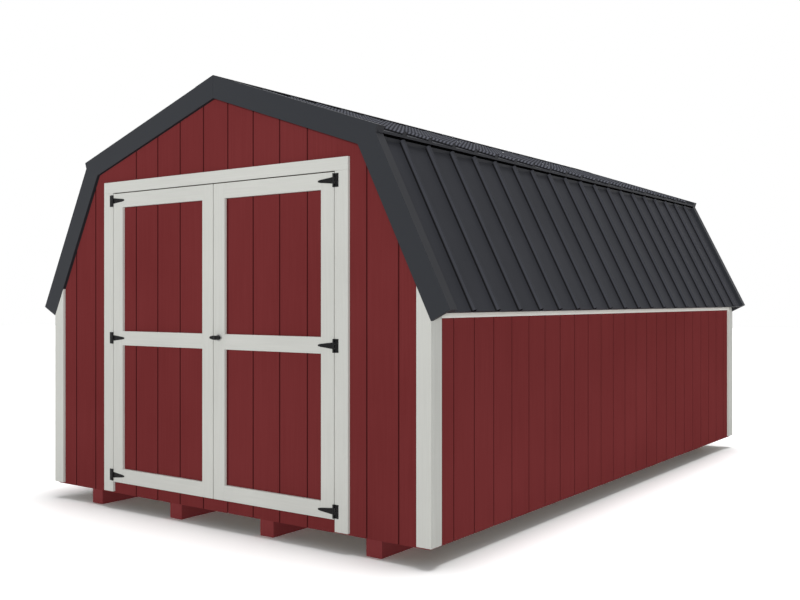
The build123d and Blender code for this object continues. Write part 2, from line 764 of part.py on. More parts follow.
def write_trim():
    """White boards on the walls and round the doorway."""
    finish("frieze_boards", frieze(), left_of(frieze()))
    corner = corner_boards()
    finish("corner_boards_front", corner, left_of(corner))
    finish("corner_boards_back", back_of(corner), back_of(left_of(corner)))
    finish("door_jamb_casings", jamb_casing(), left_of(jamb_casing()))
    finish("door_header_casing", header_casing())
    leaves = hinge_leaves()
    finish("casing_hinge_leaves", *leaves, *[left_of(leaf) for leaf in leaves])


def write_doors():
    """Both leaves and the lock."""
    bore = lock_bore(SPINDLE_RADIUS + SPINDLE_CLEARANCE, (-TRIM, DOOR_SKIN))
    finish("right_door_panel", door_panel() - bore)
    finish("right_door_trim", door_trim() - bore)
    finish("right_door_frame", door_frame())
    finish("right_door_straps", *hinge_straps())
    finish("right_door_escutcheon", escutcheon())
    finish("t_handle", t_handle())
    finish("left_door_panel", left_of(door_panel()))
    finish("left_door_trim", left_of(door_trim()))
    finish("left_door_frame", left_of(door_frame()))
    finish("left_door_straps", *[left_of(strap) for strap in hinge_straps()])


os.makedirs("parts", exist_ok=True)
write_base()
write_walls()
write_roof()
write_trim()
write_doors()
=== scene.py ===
import logging
import math
from dataclasses import dataclass, replace
from enum import Enum

import bpy
import numpy as np
from numpy.typing import NDArray
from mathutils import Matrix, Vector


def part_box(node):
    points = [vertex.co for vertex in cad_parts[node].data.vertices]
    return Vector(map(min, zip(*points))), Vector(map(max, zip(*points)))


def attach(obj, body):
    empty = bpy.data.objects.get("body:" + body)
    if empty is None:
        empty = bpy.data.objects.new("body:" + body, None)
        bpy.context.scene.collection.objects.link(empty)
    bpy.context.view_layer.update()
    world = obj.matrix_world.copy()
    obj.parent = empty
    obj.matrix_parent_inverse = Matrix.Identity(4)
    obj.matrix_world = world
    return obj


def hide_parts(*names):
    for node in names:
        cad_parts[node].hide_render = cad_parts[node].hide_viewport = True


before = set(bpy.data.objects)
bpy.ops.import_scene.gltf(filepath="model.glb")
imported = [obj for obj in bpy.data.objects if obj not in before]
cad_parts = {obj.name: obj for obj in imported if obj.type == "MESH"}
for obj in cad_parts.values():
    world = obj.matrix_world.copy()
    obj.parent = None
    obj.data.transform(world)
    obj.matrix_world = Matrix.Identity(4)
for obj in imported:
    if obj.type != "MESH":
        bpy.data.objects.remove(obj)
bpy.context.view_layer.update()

logging.basicConfig(level=logging.INFO, format="%(name)s: %(message)s")
LOG = logging.getLogger("barn")

Floats = NDArray[np.float64]
Ints = NDArray[np.int64]
Pair = tuple[float, float]
Triple = tuple[float, float, float]
Node = bpy.types.Node
Socket = bpy.types.NodeSocket
Material = bpy.types.Material
# What an input of a node takes: a link, a number, a vector, or a colour as six hex digits
Value = Socket | float | tuple | str

# Lengths are metres. Board sizes are those of planed timber.
MM = 0.001
TRIM_WIDTH = 89 * MM
EASED_EDGE = 1.6 * MM
SKID_EDGE = 4 * MM
UPPER_PITCH = math.radians(19.0)
LOWER_PITCH = math.radians(63.4)
METAL = 1.5 * MM
FRONT = (0.0, -1.0, 0.0)
# Points on each quarter circle of a board's edge
EDGE_POINTS = 3
# A turned shape whose axis has more than this of y is laid out from x instead
NEAR_Y = 0.9
# Folds of a sheet are told apart at 0.1 mm, which is this many decimals
FOLD_DECIMALS = 4

# The mix node's two values and its result by kind of value, because they share their names
MIX_SOCKETS = {"FLOAT": (2, 3, 0), "VECTOR": (4, 5, 1), "RGBA": (6, 7, 2)}
# A face looks along the building where its normal's y is more than this, and there the trim's colour is
# painted lighter, as painted light
GABLE_FACING = 0.7

# Each board lies at its own place of the grain, in metres, and has its own tone
RANDOM = np.random.default_rng(16)
GRAIN_PLACES = 40
TONE_SPREAD = 0.25


def linear(code: str) -> tuple[float, ...]:
    """Turn an sRGB hex colour into the linear values that a shader takes.

    Args:
        code: Six hex digits.

    Returns:
        Red, green, blue and alpha.
    """
    values = np.array([int(code[start:start + 2], 16) for start in (0, 2, 4)]) / 255
    curve = np.where(values <= 0.04045, values / 12.92, ((values + 0.055) / 1.055) ** 2.4)
    return (*curve.tolist(), 1.0)


class Graph:
    """Node tree of a material or of the world, with a method for each kind of node in use."""

    def __init__(self, tree: bpy.types.NodeTree) -> None:
        """Keep the tree."""
        self.tree = tree

    def feed(self, node: Node, inputs: dict[str | int, Value]) -> None:
        """Link or set inputs of a node.

        Args:
            node: The node.
            inputs: What each input takes, by name or number.
        """
        for key, value in inputs.items():
            if isinstance(value, Socket):
                self.tree.links.new(value, node.inputs[key])
            else:
                node.inputs[key].default_value = linear(value) if isinstance(value, str) else value

    def add(self, kind: str, inputs: dict[str | int, Value] | None = None, **settings: object) -> Node:
        """Add one node.

        Args:
            kind: Blender's name of the node type, without ShaderNode.
            inputs: What each input takes, by name or number.
            **settings: Properties of the node.

        Returns:
            The new node.
        """
        node = self.tree.nodes.new("ShaderNode" + kind)
        for key, value in settings.items():
            setattr(node, key, value)
        self.feed(node, inputs or {})
        return node

    def point(self) -> Socket:
        """Object coordinates."""
        return self.add("TexCoord").outputs["Object"]

    def part(self, vector: Socket, axis: int) -> Socket:
        """One coordinate of a vector."""
        return self.add("SeparateXYZ", {0: vector}).outputs[axis]

    def maths(self, operation: str, first: Value, second: Value = 0.0) -> Socket:
        """Result of an operation on one or two numbers."""
        return self.add("Math", {0: first, 1: second}, operation=operation).outputs[0]

    def vectors(self, operation: str, first: Value, second: Value = (0, 0, 0)) -> Socket:
        """Result of an operation on one or two vectors."""
        return self.add("VectorMath", {0: first, 1: second}, operation=operation).outputs[0]

    def dot(self, point: Socket, direction: Floats | Triple) -> Socket:
        """Distance of a point along a direction."""
        inputs = {0: point, 1: tuple(direction)}
        return self.add("VectorMath", inputs, operation="DOT_PRODUCT").outputs["Value"]

    def noise(self, vector: Socket, scale: float, *finer: float) -> Socket:
        """Cloudy pattern between 0 and 1, with its detail, roughness and distortion where given."""
        names = ("Vector", "Scale", "Detail", "Roughness", "Distortion")
        return self.add("TexNoise", dict(zip(names, (vector, scale, *finer)))).outputs[0]

    def remap(self, value: Socket, start: Pair = (0.0, 1.0), end: Pair = (0.0, 1.0)) -> Socket:
        """Number carried from one range to another, and held at its ends."""
        names = ("Value", "From Min", "From Max", "To Min", "To Max")
        return self.add("MapRange", dict(zip(names, (value, *start, *end)))).outputs[0]

    def mix(self, share: Value, first: Value, second: Value, kind: str = "RGBA") -> Socket:
        """Colour, or another kind of value, between the first at 0 and the second at 1."""
        low, high, out = MIX_SOCKETS[kind]
        return self.add("Mix", {0: share, low: first, high: second}, data_type=kind).outputs[out]

    def lit(self, colour: Socket, level: Socket) -> Socket:
        """Colour times a level."""
        return self.add("HueSaturation", {"Color": colour, "Value": level}).outputs[0]

    def bump(self, height: Socket, depth: float, strength: float = 0.5, **under: Socket) -> Socket:
        """Normal of a relief, which may lie over another one's Normal."""
        inputs = {"Height": height, "Distance": depth, "Strength": strength, **under}
        return self.add("Bump", inputs).outputs[0]

    def ramp(self, value: Socket, stops: list[tuple[float, tuple]]) -> Socket:
        """Colour that runs from stop to stop.

        Args:
            value: Place on the ramp, 0 to 1.
            stops: Place and colour of each stop, in order.

        Returns:
            The colour.
        """
        node = self.add("ValToRGB", {0: value})
        elements = node.color_ramp.elements
        elements[0].position, elements[1].position = stops[0][0], stops[-1][0]
        for place, _ in stops[1:-1]:
            elements.new(place)
        for element, (_, colour) in zip(elements, stops):
            element.color = colour
        return node.outputs[0]


class Coat(Graph):
    """Node tree of a new material with one shader."""

    def __init__(self, name: str, suffix: str = "") -> None:
        """Make the material, named after its finish and what sets it apart."""
        self.made = bpy.data.materials.new(f"{name}_{suffix}" if suffix else name)
        self.made.use_nodes = True
        super().__init__(self.made.node_tree)

    def finish(self, colour: Socket, inputs: dict[str, Value]) -> Material:
        """Give the shader its colour and its other inputs, and hand the material over."""
        self.feed(self.tree.nodes["Principled BSDF"], {"Base Color": colour, **inputs})
        return self.made


def slope(pitch: float) -> tuple[Triple, Triple, Triple, bool]:
    """Directions down, along and out of the right slope, which the left one mirrors."""
    sine, cosine = math.sin(pitch), math.cos(pitch)
    return (cosine, 0, -sine), (0, 1, 0), (sine, 0, cosine), True


class Grain(Enum):
    """Which way a pattern runs: along a board's own length, or along a direction of the building.

    Each direction of the building has its unit vector, the two square to it, and whether the left
    half mirrors the right one.
    """

    BOARD = ()
    ACROSS = ((1, 0, 0), (0, 1, 0), (0, 0, 1), False)
    LENGTHWISE = ((0, 1, 0), (1, 0, 0), (0, 0, 1), False)
    UPRIGHT = ((0, 0, 1), (1, 0, 0), (0, 1, 0), False)
    UPPER_SLOPE = slope(UPPER_PITCH)
    LOWER_SLOPE = slope(LOWER_PITCH)

    def vector(self, graph: Graph, length: float, width: float) -> Socket:
        """Coordinates for a pattern that is stretched along the grain.

        The point is projected on the grain and on the two directions square to it, and each share
        is divided by the size of one cycle. On a board the shares are the distances along and
        round it.

        Args:
            graph: Node tree of the material.
            length: Size of one cycle along the grain.
            width: Size of one cycle square to it.

        Returns:
            Vector for a texture node.
        """
        along, across = 1 / length, 1 / width
        if self is Grain.BOARD:
            flat = graph.add("UVMap", uv_map="board").outputs[0]
            return graph.vectors("MULTIPLY", flat, (along, across, 1.0))
        run, side, out, mirrored = self.value
        point = graph.point()
        if mirrored:
            point = graph.vectors("ABSOLUTE", point)
        ways = enumerate(((run, along), (side, across), (out, across)))
        shares = {slot: graph.dot(point, np.multiply(way, cycles)) for slot, (way, cycles) in ways}
        return graph.add("CombineXYZ", shares).outputs[0]


@dataclass(frozen=True)
class BoardPaint:
    """Satin acrylic paint, brushed on wood whose grain still shows through.

    The eye sees one even colour with faint darker streaks where the paint lies in the grain, a
    soft sheen, and a relief of a few tenths of a millimetre. The streaks are drawn three times as
    wide as the real grain so that they show.
    """

    name: str
    body: str
    deep: str
    roughness: float = 0.62
    sheen_swing: float = 0.06
    streak_width: float = 9 * MM
    streak_length: float = 400 * MM
    streak_roughness: float = 0.62
    contrast: Pair = (0.75, 1.3)
    relief: float = 0.35 * MM
    relief_strength: float = 0.6
    patch: float = 0.7
    specular: float = 0.08

    def material(self, grain: Grain) -> Material:
        """Build the paint.

        Args:
            grain: Way that the wood's grain runs.

        Returns:
            The material.
        """
        graph = Coat(self.name, grain.name.lower())
        colour, height = self.pattern(graph, grain)
        return graph.finish(colour, self.gloss(graph, height))

    def pattern(self, graph: Graph, grain: Grain) -> tuple[Socket, Socket]:
        """Colour and relief of the painted grain.

        Args:
            graph: Node tree of the material.
            grain: Way that the wood's grain runs.

        Returns:
            Colour and height.
        """
        stretched = grain.vector(graph, self.streak_length, self.streak_width)
        height = graph.noise(stretched, 1.0, 3.0, self.streak_roughness)
        broad = graph.noise(graph.point(), 1 / self.patch)
        share = graph.remap(graph.maths("ADD", height, broad), self.contrast)
        return graph.mix(share, self.deep, self.body), height

    def gloss(self, graph: Graph, height: Socket) -> dict[str, Value]:
        """The paint's sheen and relief.

        Args:
            graph: Node tree of the material.
            height: Height of the grain, 0 to 1.

        Returns:
            Inputs of the shader.
        """
        sheen = (self.roughness - self.sheen_swing, self.roughness + self.sheen_swing)
        return {
            "Roughness": graph.remap(height, end=sheen),
            "Normal": graph.bump(height, self.relief, self.relief_strength),
            "Specular IOR Level": self.specular,
        }


@dataclass(frozen=True)
class SidingPaint(BoardPaint):
    """The same paint on pressed wood siding, darker in the grooves and bare on the inner side.

    The sheets stand round a middle point at a half width along each axis, so that a point's depth
    is how far it lies inside the nearest outer face. The grooves are darkened in the colour as
    painted shade, which the eye sees as dark lines, and beyond the skin the fibre is bare and brown.
    """

    bare: str = "94794f"
    bare_dark: str = "7d6340"
    middle: Pair = (0.0, 0.0)
    half: Pair = (9.0, 9.0)
    skin_depth: float = 10 * MM
    # Depth over which the grooves' painted shade comes in, and the level of that painted shade
    groove_reach: Pair = (0.2 * MM, 1.5 * MM)
    groove_painted_shade: float = 0.5
    fibre: float = 6 * MM
    fibre_roughness: float = 0.7

    def material(self, grain: Grain) -> Material:
        """Build the painted outside, its grooves and the bare inside.

        Args:
            grain: Way that the embossed grain runs.

        Returns:
            The material.
        """
        graph = Coat(self.name, grain.name.lower())
        painted, height = self.pattern(graph, grain)
        point = graph.point()
        reach = graph.vectors("ABSOLUTE", graph.vectors("SUBTRACT", point, (*self.middle, 0.0)))
        depths = graph.vectors("SUBTRACT", (*self.half, 0.0), reach)
        depth = graph.maths("MINIMUM", graph.part(depths, 0), graph.part(depths, 1))
        # Painted shade: the colour is darkened in the grooves, where shade falls
        groove = graph.remap(depth, self.groove_reach, (1.0, self.groove_painted_shade))
        speckle = graph.noise(point, 1 / self.fibre, 3.0, self.fibre_roughness)
        raw = graph.mix(speckle, self.bare_dark, self.bare)
        inside = graph.maths("GREATER_THAN", depth, self.skin_depth)
        colour = graph.mix(inside, graph.lit(painted, groove), raw)
        return graph.finish(colour, self.gloss(graph, height))


@dataclass(frozen=True)
class Softwood:
    """Planed spruce, bare: pale earlywood with darker latewood lines, and a few knots.

    The lines are about 5 mm apart and wander slowly along the board. Each board has its own tone.
    A knot is a dark core in a long cell, and the tone also changes slowly square to the boards.
    """

    name: str = "planed_spruce"
    early: str = "d9b887"
    late: str = "b98d58"
    knot: str = "7a4f2b"
    ring: float = 7 * MM
    wander: float = 700 * MM
    ring_roughness: float = 0.6
    ring_warp: float = 0.4
    ring_edge: Pair = (0.36, 0.62)
    knot_cell: Pair = (600 * MM, 60 * MM)
    knot_core: Pair = (0.05, 0.16)
    tone_cell: Pair = (5.0, 0.25)
    tone_range: Pair = (0.2, 0.9)
    tone_levels: Pair = (0.82, 1.1)
    roughness: float = 0.62
    relief: float = 0.2 * MM

    def material(self, grain: Grain, level: Pair | None = None) -> Material:
        """Build the wood.

        Args:
            grain: Way that the grain runs.
            level: Range of z in which the boards lie level, across the building.

        Returns:
            The material.
        """
        suffix = "" if level is None else f"_plate_{round(level[0] / MM)}"
        graph = Coat(self.name, grain.name.lower() + suffix)
        rings = self.course(graph, grain, level, self.wander, self.ring)
        height = graph.noise(rings, 1.0, 4.0, self.ring_roughness, self.ring_warp)
        wood = graph.mix(graph.remap(height, self.ring_edge), self.late, self.early)
        cells = {"Vector": self.course(graph, grain, level, *self.knot_cell), "Scale": 1.0}
        distance = graph.add("TexVoronoi", cells).outputs["Distance"]
        spotted = graph.mix(graph.remap(distance, self.knot_core, (1.0, 0.0)), wood, self.knot)
        slow = graph.noise(self.course(graph, grain, level, *self.tone_cell), 1.0)
        own = graph.add("Attribute", attribute_name="tone").outputs["Fac"]
        tone = graph.remap(graph.maths("ADD", slow, own), self.tone_range, self.tone_levels)
        inputs = {"Roughness": self.roughness, "Normal": graph.bump(height, self.relief)}
        return graph.finish(graph.lit(spotted, tone), inputs)

    def course(self, graph: Graph, grain: Grain, level: Pair | None, *cycle: float) -> Socket:
        """Stretched coordinates, turned across the building where the boards lie level.

        Args:
            graph: Node tree of the material.
            grain: Way that the grain runs elsewhere.
            level: Range of z of the level boards.
            *cycle: Length and width of one cycle.

        Returns:
            Vector for a texture node.
        """
        main = grain.vector(graph, *cycle)
        if level is None:
            return main
        turned = Grain.ACROSS.vector(graph, *cycle)
        height = graph.part(graph.point(), 2)
        over = graph.maths("GREATER_THAN", height, level[0])
        under = graph.maths("LESS_THAN", height, level[1])
        return graph.mix(graph.maths("MULTIPLY", over, under), main, turned, "VECTOR")


@dataclass(frozen=True)
class StrandBoard:
    """Pressed strand board: flakes of pale wood, 75 by 24 mm, lying in two main directions."""

    name: str = "strand_board"
    pale: str = "cfa873"
    mid: str = "b58a52"
    dark: str = "8d6537"
    mid_place: float = 0.35
    flake: Pair = (75 * MM, 24 * MM)
    roughness: float = 0.66
    relief: float = 0.3 * MM
    relief_strength: float = 0.4

    def material(self, grain: Grain) -> Material:
        """Build the board.

        Two layers of long cells, the second turned square to the first, are chosen between by a
        third pattern, and each cell has its own random tone.

        Args:
            grain: Way that the top flakes mostly run.

        Returns:
            The material.
        """
        graph = Coat(self.name, grain.name.lower())
        tones = []
        for size in (self.flake, self.flake[::-1]):
            cells = {"Vector": grain.vector(graph, *size), "Scale": 1.0, "Randomness": 1.0}
            flakes = graph.add("TexVoronoi", cells).outputs["Color"]
            tones.append(graph.add("SeparateColor", {0: flakes}).outputs[0])
        patches = graph.noise(graph.point(), 1 / self.flake[0], 1.0)
        tone = graph.mix(graph.maths("GREATER_THAN", patches, 0.5), *tones, "FLOAT")
        stops = [(0.0, self.dark), (self.mid_place, self.mid), (1.0, self.pale)]
        colour = graph.ramp(tone, [(place, linear(code)) for place, code in stops])
        normal = graph.bump(tone, self.relief, self.relief_strength)
        return graph.finish(colour, {"Roughness": self.roughness, "Normal": normal})


@dataclass(frozen=True)
class CoatedMetal:
    """Steel with a baked or powdered coat: even colour, fine orange peel and a wide, soft shine.

    The thin sheet also waves a little, and the longer waves show in its shine. The colour is darkened
    along the foot of each rib as painted shade, fading up the rib's side, and the rest of the side is
    lightened as painted light. Crimps pressed into the ribs are drawn as fine painted highlights and
    painted shade across them. Faces toward the gables are painted a shade lighter, as painted light.
    """

    name: str
    colour: str
    worn: str
    roughness: float
    shine_swing: Pair = (-0.05, 0.07)
    peel: float = 2.5 * MM
    peel_depth: float = 0.02 * MM
    wave: float = 0.35
    wave_depth: float = 0.5 * MM
    specular: float = 0.15
    # Painted shade at the rib's foot and painted light on its side, as levels of the colour
    foot_painted_shade: float = 0.1
    foot_range: Pair = (0.03, 0.05)
    foot_fade: Pair = (0.3, 0.5)
    flank_painted_light: float = 1.6
    crest_range: Pair = (0.93, 0.98)
    # Levels of the painted shade and painted highlight across the crimps
    crimp_painted_shade: float = 0.45
    crimp_painted_highlight: float = 2.6
    crimp_foot: float = 2 * MM
    # Lighter colour on faces toward the gables, as painted light
    gable_painted_light_colour: str = ""

    def material(self, sheet: "Sheet | None" = None, crimp: float = 0.0) -> Material:
        """Build the coat.

        Args:
            sheet: The ribbed sheet that it covers, if any.
            crimp: Spacing of the crimps across its ribs, or 0 for none.

        Returns:
            The material.
        """
        graph = Coat(self.name, sheet.name if sheet else "")
        point = graph.point()
        wave = graph.noise(point, 1 / self.wave)
        peel = graph.noise(point, 1 / self.peel)
        colour = graph.mix(wave, self.colour, self.worn)
        # Painted light: faces toward the gables take a lighter colour
        if self.gable_painted_light_colour:
            normal = graph.add("NewGeometry").outputs["Normal"]
            facing = graph.maths("ABSOLUTE", graph.part(normal, 1))
            gable = graph.maths("GREATER_THAN", facing, GABLE_FACING)
            colour = graph.mix(gable, colour, self.gable_painted_light_colour)
        if sheet is not None:
            # Painted shade at the foot of each rib and painted light up its side
            colour = graph.lit(colour, self.rib_painted_shade_and_light(graph, point, sheet))
        if crimp:
            # Painted highlights and painted shade across the crimps
            colour = graph.lit(colour, self.crimps(graph, point, sheet, crimp))
        low, high = self.shine_swing
        shine = graph.remap(wave, end=(self.roughness + low, self.roughness + high))
        normal = graph.bump(peel, self.peel_depth, Normal=graph.bump(wave, self.wave_depth))
        inputs = {"Roughness": shine, "Normal": normal, "Specular IOR Level": self.specular}
        return graph.finish(colour, inputs)

    def crimps(self, graph: Graph, point: Socket, sheet: "Sheet", spacing: float) -> Socket:
        """Level of the colour over the crimps, which run across the ribs.

        A sine wave of the distance down the slope goes between the painted shade and the painted
        highlight level where the point is higher than the flats, and the level is 1 on the flats.

        Args:
            graph: Node tree of the material.
            point: Object coordinates.
            sheet: The ribbed sheet.
            spacing: Distance between two crimps.

        Returns:
            The level.
        """
        run, height = graph.dot(point, sheet.down), graph.dot(point, sheet.out)
        wave = graph.maths("SINE", graph.maths("MULTIPLY", run, 2 * math.pi / spacing))
        level = graph.remap(wave, (-1.0, 1.0), (self.crimp_painted_shade, self.crimp_painted_highlight))
        ribbed = graph.maths("GREATER_THAN", height, sheet.flat + self.crimp_foot)
        return graph.mix(ribbed, 1.0, level, "FLOAT")

    def rib_painted_shade_and_light(self, graph: Graph, point: Socket, sheet: "Sheet") -> Socket:
        """Level of the colour over a ribbed sheet, least at the foot of its ribs.

        The distance along the sheet's normal, from its flats to its crests, goes through a ramp:
        full on the flats, dark just above them as painted shade at the rib's foot, light on the rest of
        the side as painted light, and full on the crests. The ramp holds half of each level, because it
        can't go over one.

        Args:
            graph: Node tree of the material.
            point: Object coordinates.
            sheet: The ribbed sheet.

        Returns:
            The level.
        """
        rise = graph.remap(graph.dot(point, sheet.out), (sheet.flat, sheet.crest))
        places = (*self.foot_range, *self.foot_fade, *self.crest_range)
        levels = (1.0, self.foot_painted_shade, self.foot_painted_shade, self.flank_painted_light, self.flank_painted_light, 1.0)
        stops = [(place, (*[level / 2] * 3, 1)) for place, level in zip(places, levels)]
        halved = graph.ramp(rise, stops)
        return graph.maths("MULTIPLY", halved, 2.0)


@dataclass(frozen=True)
class BlackenedZinc:
    """Blackened zinc plate with fine turning marks: a dull dark grey, as on a lock's key face."""

    name: str = "blackened_zinc_plate"
    colour: str = "3c3d3f"
    deep: str = "2b2c2e"
    grit: float = 1.2 * MM
    roughness: float = 0.45

    def material(self) -> Material:
        """Build the metal.

        Returns:
            The material.
        """
        graph = Coat(self.name)
        grit = graph.noise(graph.point(), 1 / self.grit, 3.0)
        colour = graph.mix(grit, self.deep, self.colour)
        return graph.finish(colour, {"Metallic": 1.0, "Roughness": self.roughness})


def skin(rings: Floats) -> tuple[Floats, Ints, Floats]:
    """Join stacks of rings into closed tubes.

    Ring r and ring r + 1 are joined by one four-sided face for each step round the ring. Both ends
    are closed by faces that join opposite points: first two with last two, and so on inwards.

    Args:
        rings: Points by tube, ring, step and axis. The count of steps is even, and they run
            anticlockwise seen from the last ring.

    Returns:
        Points, faces, and the distances along and round the tube for each corner of each face.
    """
    tubes, count, steps, _ = rings.shape
    index = np.arange(tubes * count * steps).reshape(tubes, count, steps)
    beside = np.roll(index, -1, axis=2)
    sides = np.stack([index[:, :-1], beside[:, :-1], beside[:, 1:], index[:, 1:]], axis=-1)
    half = np.arange(steps // 2 - 1)
    order = np.stack([half, half + 1, steps - 2 - half, steps - 1 - half], axis=-1)
    ends = [index[:, -1][:, order], index[:, 0][:, order[:, ::-1]]]
    quads = np.concatenate([sides.reshape(-1, 4)] + [end.reshape(-1, 4) for end in ends])

    hops = np.linalg.norm(np.diff(rings.mean(axis=2), axis=1), axis=-1)
    along = np.concatenate([np.zeros((tubes, 1)), np.cumsum(hops, axis=1)], axis=1)
    along += RANDOM.uniform(0, GRAIN_PLACES, (tubes, 1))
    around = rings[:, count // 2]
    chords = np.linalg.norm(np.roll(around, -1, axis=1) - around, axis=-1)
    girth = np.concatenate([np.zeros((tubes, 1)), np.cumsum(chords, axis=1)], axis=1)
    low, high = np.arange(count - 1), np.arange(1, count)
    rows = along[:, np.stack([low, low, high, high], axis=-1)][:, :, None]
    step, after = np.arange(steps), np.arange(1, steps + 1)
    turns = girth[:, np.stack([step, after, after, step], axis=-1)][:, None]
    uv = [np.stack(np.broadcast_arrays(rows, turns), axis=-1).reshape(-1, 4, 2)]
    for row, corners in ((-1, order), (0, order[:, ::-1])):
        lengths = np.broadcast_to(along[:, row, None, None], (tubes, *corners.shape))
        uv.append(np.stack([lengths, girth[:, corners]], axis=-1).reshape(-1, 4, 2))
    return rings.reshape(-1, 3), quads, np.concatenate(uv)


def make_piece(
    rings: Floats, name: str, body: str, slot: str, material: Material, *stands_for: str
) -> None:
    """Make one object from closed tubes, with a random tone each, and hide the solids of the frame it
    stands for.

    Args:
        rings: Points by tube, ring, step and axis.
        name: Name of the piece.
        body: Body that it moves with.
        slot: Material slot of the record; not used.
        material: Its finish.
        *stands_for: Solids of the frame that it takes the place of.
    """
    points, quads, uv = skin(rings)
    tones = RANDOM.uniform(-TONE_SPREAD, TONE_SPREAD, len(rings))
    mesh = bpy.data.meshes.new(name)
    mesh.from_pydata(points.tolist(), [], quads.tolist())
    layer = mesh.uv_layers.new(name="board")
    layer.data.foreach_set("uv", uv.astype(np.float32).ravel())
    tone = mesh.attributes.new("tone", "FLOAT", "POINT")
    tone.data.foreach_set("value", np.repeat(tones, len(points) // len(rings)).astype(np.float32))
    mesh.materials.append(material)
    made = bpy.data.objects.new(name, mesh)
    bpy.context.scene.collection.objects.link(made)
    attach(made, body)
    if stands_for:
        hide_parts(*stands_for)
    LOG.info("%s: %d faces on %s", name, len(quads), body)


@dataclass(frozen=True)
class Board:
    """One straight board: the middles of its ends, the direction of its width, and its sizes.

    A cut is the normal of the plane in which the far end is sawn, where that isn't square.
    """

    start: Triple
    end: Triple
    across: Triple
    width: float
    thickness: float
    end_cut: Triple | None = None


def board_rings(boards: list[Board], radius: float) -> Floats:
    """Rings of boards with eased edges.

    A ring is a rounded rectangle: four quarter circles of the edge radius round its corners. Near
    each end the rings shrink on a quarter circle too, so that the end's edges are as round. Where
    an end is sawn at a slant, each point slides along the board until it meets the plane.

    Args:
        boards: The boards.
        radius: Radius of the eased edges.

    Returns:
        Points by board, ring, step and axis.
    """
    start = np.array([board.start for board in boards], float)
    end = np.array([board.end for board in boards], float)
    across = np.array([board.across for board in boards], float)
    length = np.linalg.norm(end - start, axis=1, keepdims=True)
    axis = (end - start) / length
    deep = np.cross(axis, across)
    half = np.array([[board.width / 2, board.thickness / 2] for board in boards])
    square = np.array([[board.end_cut is None] for board in boards])
    cut = np.where(square, axis, [board.end_cut or (0, 0, 1) for board in boards])

    quarter = np.linspace(0, np.pi / 2, EDGE_POINTS)
    corner = np.arange(4)[:, None] * np.pi / 2
    angle = (corner + quarter).ravel()
    sign_x = np.repeat(np.sign(np.cos(corner + np.pi / 4)), EDGE_POINTS)
    sign_y = np.repeat(np.sign(np.sin(corner + np.pi / 4)), EDGE_POINTS)
    inset = radius * (1 - np.sin(quarter))
    back = radius * (1 - np.cos(quarter))
    inset = np.concatenate([inset, inset[::-1]])
    round_radius = radius - inset[:, None]
    x = sign_x * (half[:, None, None, 0] - radius) + round_radius * np.cos(angle)
    y = sign_y * (half[:, None, None, 1] - radius) + round_radius * np.sin(angle)
    near = np.broadcast_to(back, (len(boards), EDGE_POINTS))
    far = length - back[::-1]
    s = np.broadcast_to(np.concatenate([near, far], axis=1)[:, :, None], x.shape).copy()
    lean = np.stack([(cut * across).sum(1), (cut * deep).sum(1)], axis=-1)
    lean /= (cut * axis).sum(1, keepdims=True)
    slide = x * lean[:, None, None, 0] + y * lean[:, None, None, 1]
    s[:, EDGE_POINTS:] -= slide[:, EDGE_POINTS:]
    spread = x[..., None] * across[:, None, None] + y[..., None] * deep[:, None, None]
    return start[:, None, None] + s[..., None] * axis[:, None, None] + spread


def turned_rings(
    profile: Floats, feet: Floats, outwards: Floats | Triple, sides: int, hexed: Floats | None = None
) -> Floats:
    """Rings of turned shapes, such as screw heads.

    A profile point (radius, height) becomes a ring: foot + height times the axis + radius times
    (cos a, sin a) in the plane square to it. Where a row is hexed, its radius follows a hexagon:
    the flat distance divided by the cosine of the angle from the nearest flat's middle.

    Args:
        profile: Rows of radius and height, from the foot to the top.
        feet: Foot of each copy.
        outwards: Unit direction of each copy, or of them all.
        sides: Steps round, an even count.
        hexed: 1 for the rows that are hexagonal, 0 for round ones.

    Returns:
        Points by copy, ring, step and axis.
    """
    axes = np.broadcast_to(outwards, feet.shape)
    angle = np.arange(sides) * 2 * np.pi / sides
    flat = 1 / np.cos((angle + np.pi / 6) % (np.pi / 3) - np.pi / 6)
    share = np.zeros(len(profile)) if hexed is None else hexed
    radius = profile[:, :1] * (1 + share[:, None] * (flat - 1))
    helper = np.where(np.abs(axes[:, 1:2]) < NEAR_Y, [[0.0, 1.0, 0.0]], [[1.0, 0.0, 0.0]])
    first = np.cross(helper, axes)
    first /= np.linalg.norm(first, axis=1, keepdims=True)
    second = np.cross(axes, first)
    x = (radius * np.cos(angle))[None, ..., None]
    y = (radius * np.sin(angle))[None, ..., None]
    flat_part = x * first[:, None, None] + y * second[:, None, None]
    up = profile[None, :, 1, None, None] * axes[:, None, None]
    return feet[:, None, None] + flat_part + up


# Turned shapes, as rows of radius and height in millimetres
ROOF_SCREW = np.array([(7.5, 0.0), (7.5, 1.2), (6.8, 1.8), (4.4, 1.9), (4.4, 5.6), (3.4, 6.4)]) * MM
ROOF_SCREW_HEX = np.array([0.0, 0.0, 0.0, 1.0, 1.0, 1.0])
PAN_SCREW = np.array([(4.2, 0.0), (4.2, 0.5), (3.6, 1.5), (2.2, 2.1), (1.3, 2.2), (1.1, 1.2)]) * MM
NAIL_HEAD = np.array([(3.6, 0.0), (3.5, 0.6), (2.2, 0.9)]) * MM
KEY_FACE = np.array([(6.5, -1.0), (6.5, 0.1), (6.1, 0.3), (1.0, 0.35)]) * MM
SPINDLE_COLLAR = np.array([(15.0, 0.0), (15.0, 1.5), (13.5, 8.0), (10.5, 11.0), (6.3, 11.5)]) * MM
NAIL_SIDES = 8
SCREW_SIDES = 12
LOCK_SIDES = 24
NAIL_SPACING = 400 * MM
NAIL_EDGE_INSET = 18 * MM
NAIL_END_INSET = 45 * MM


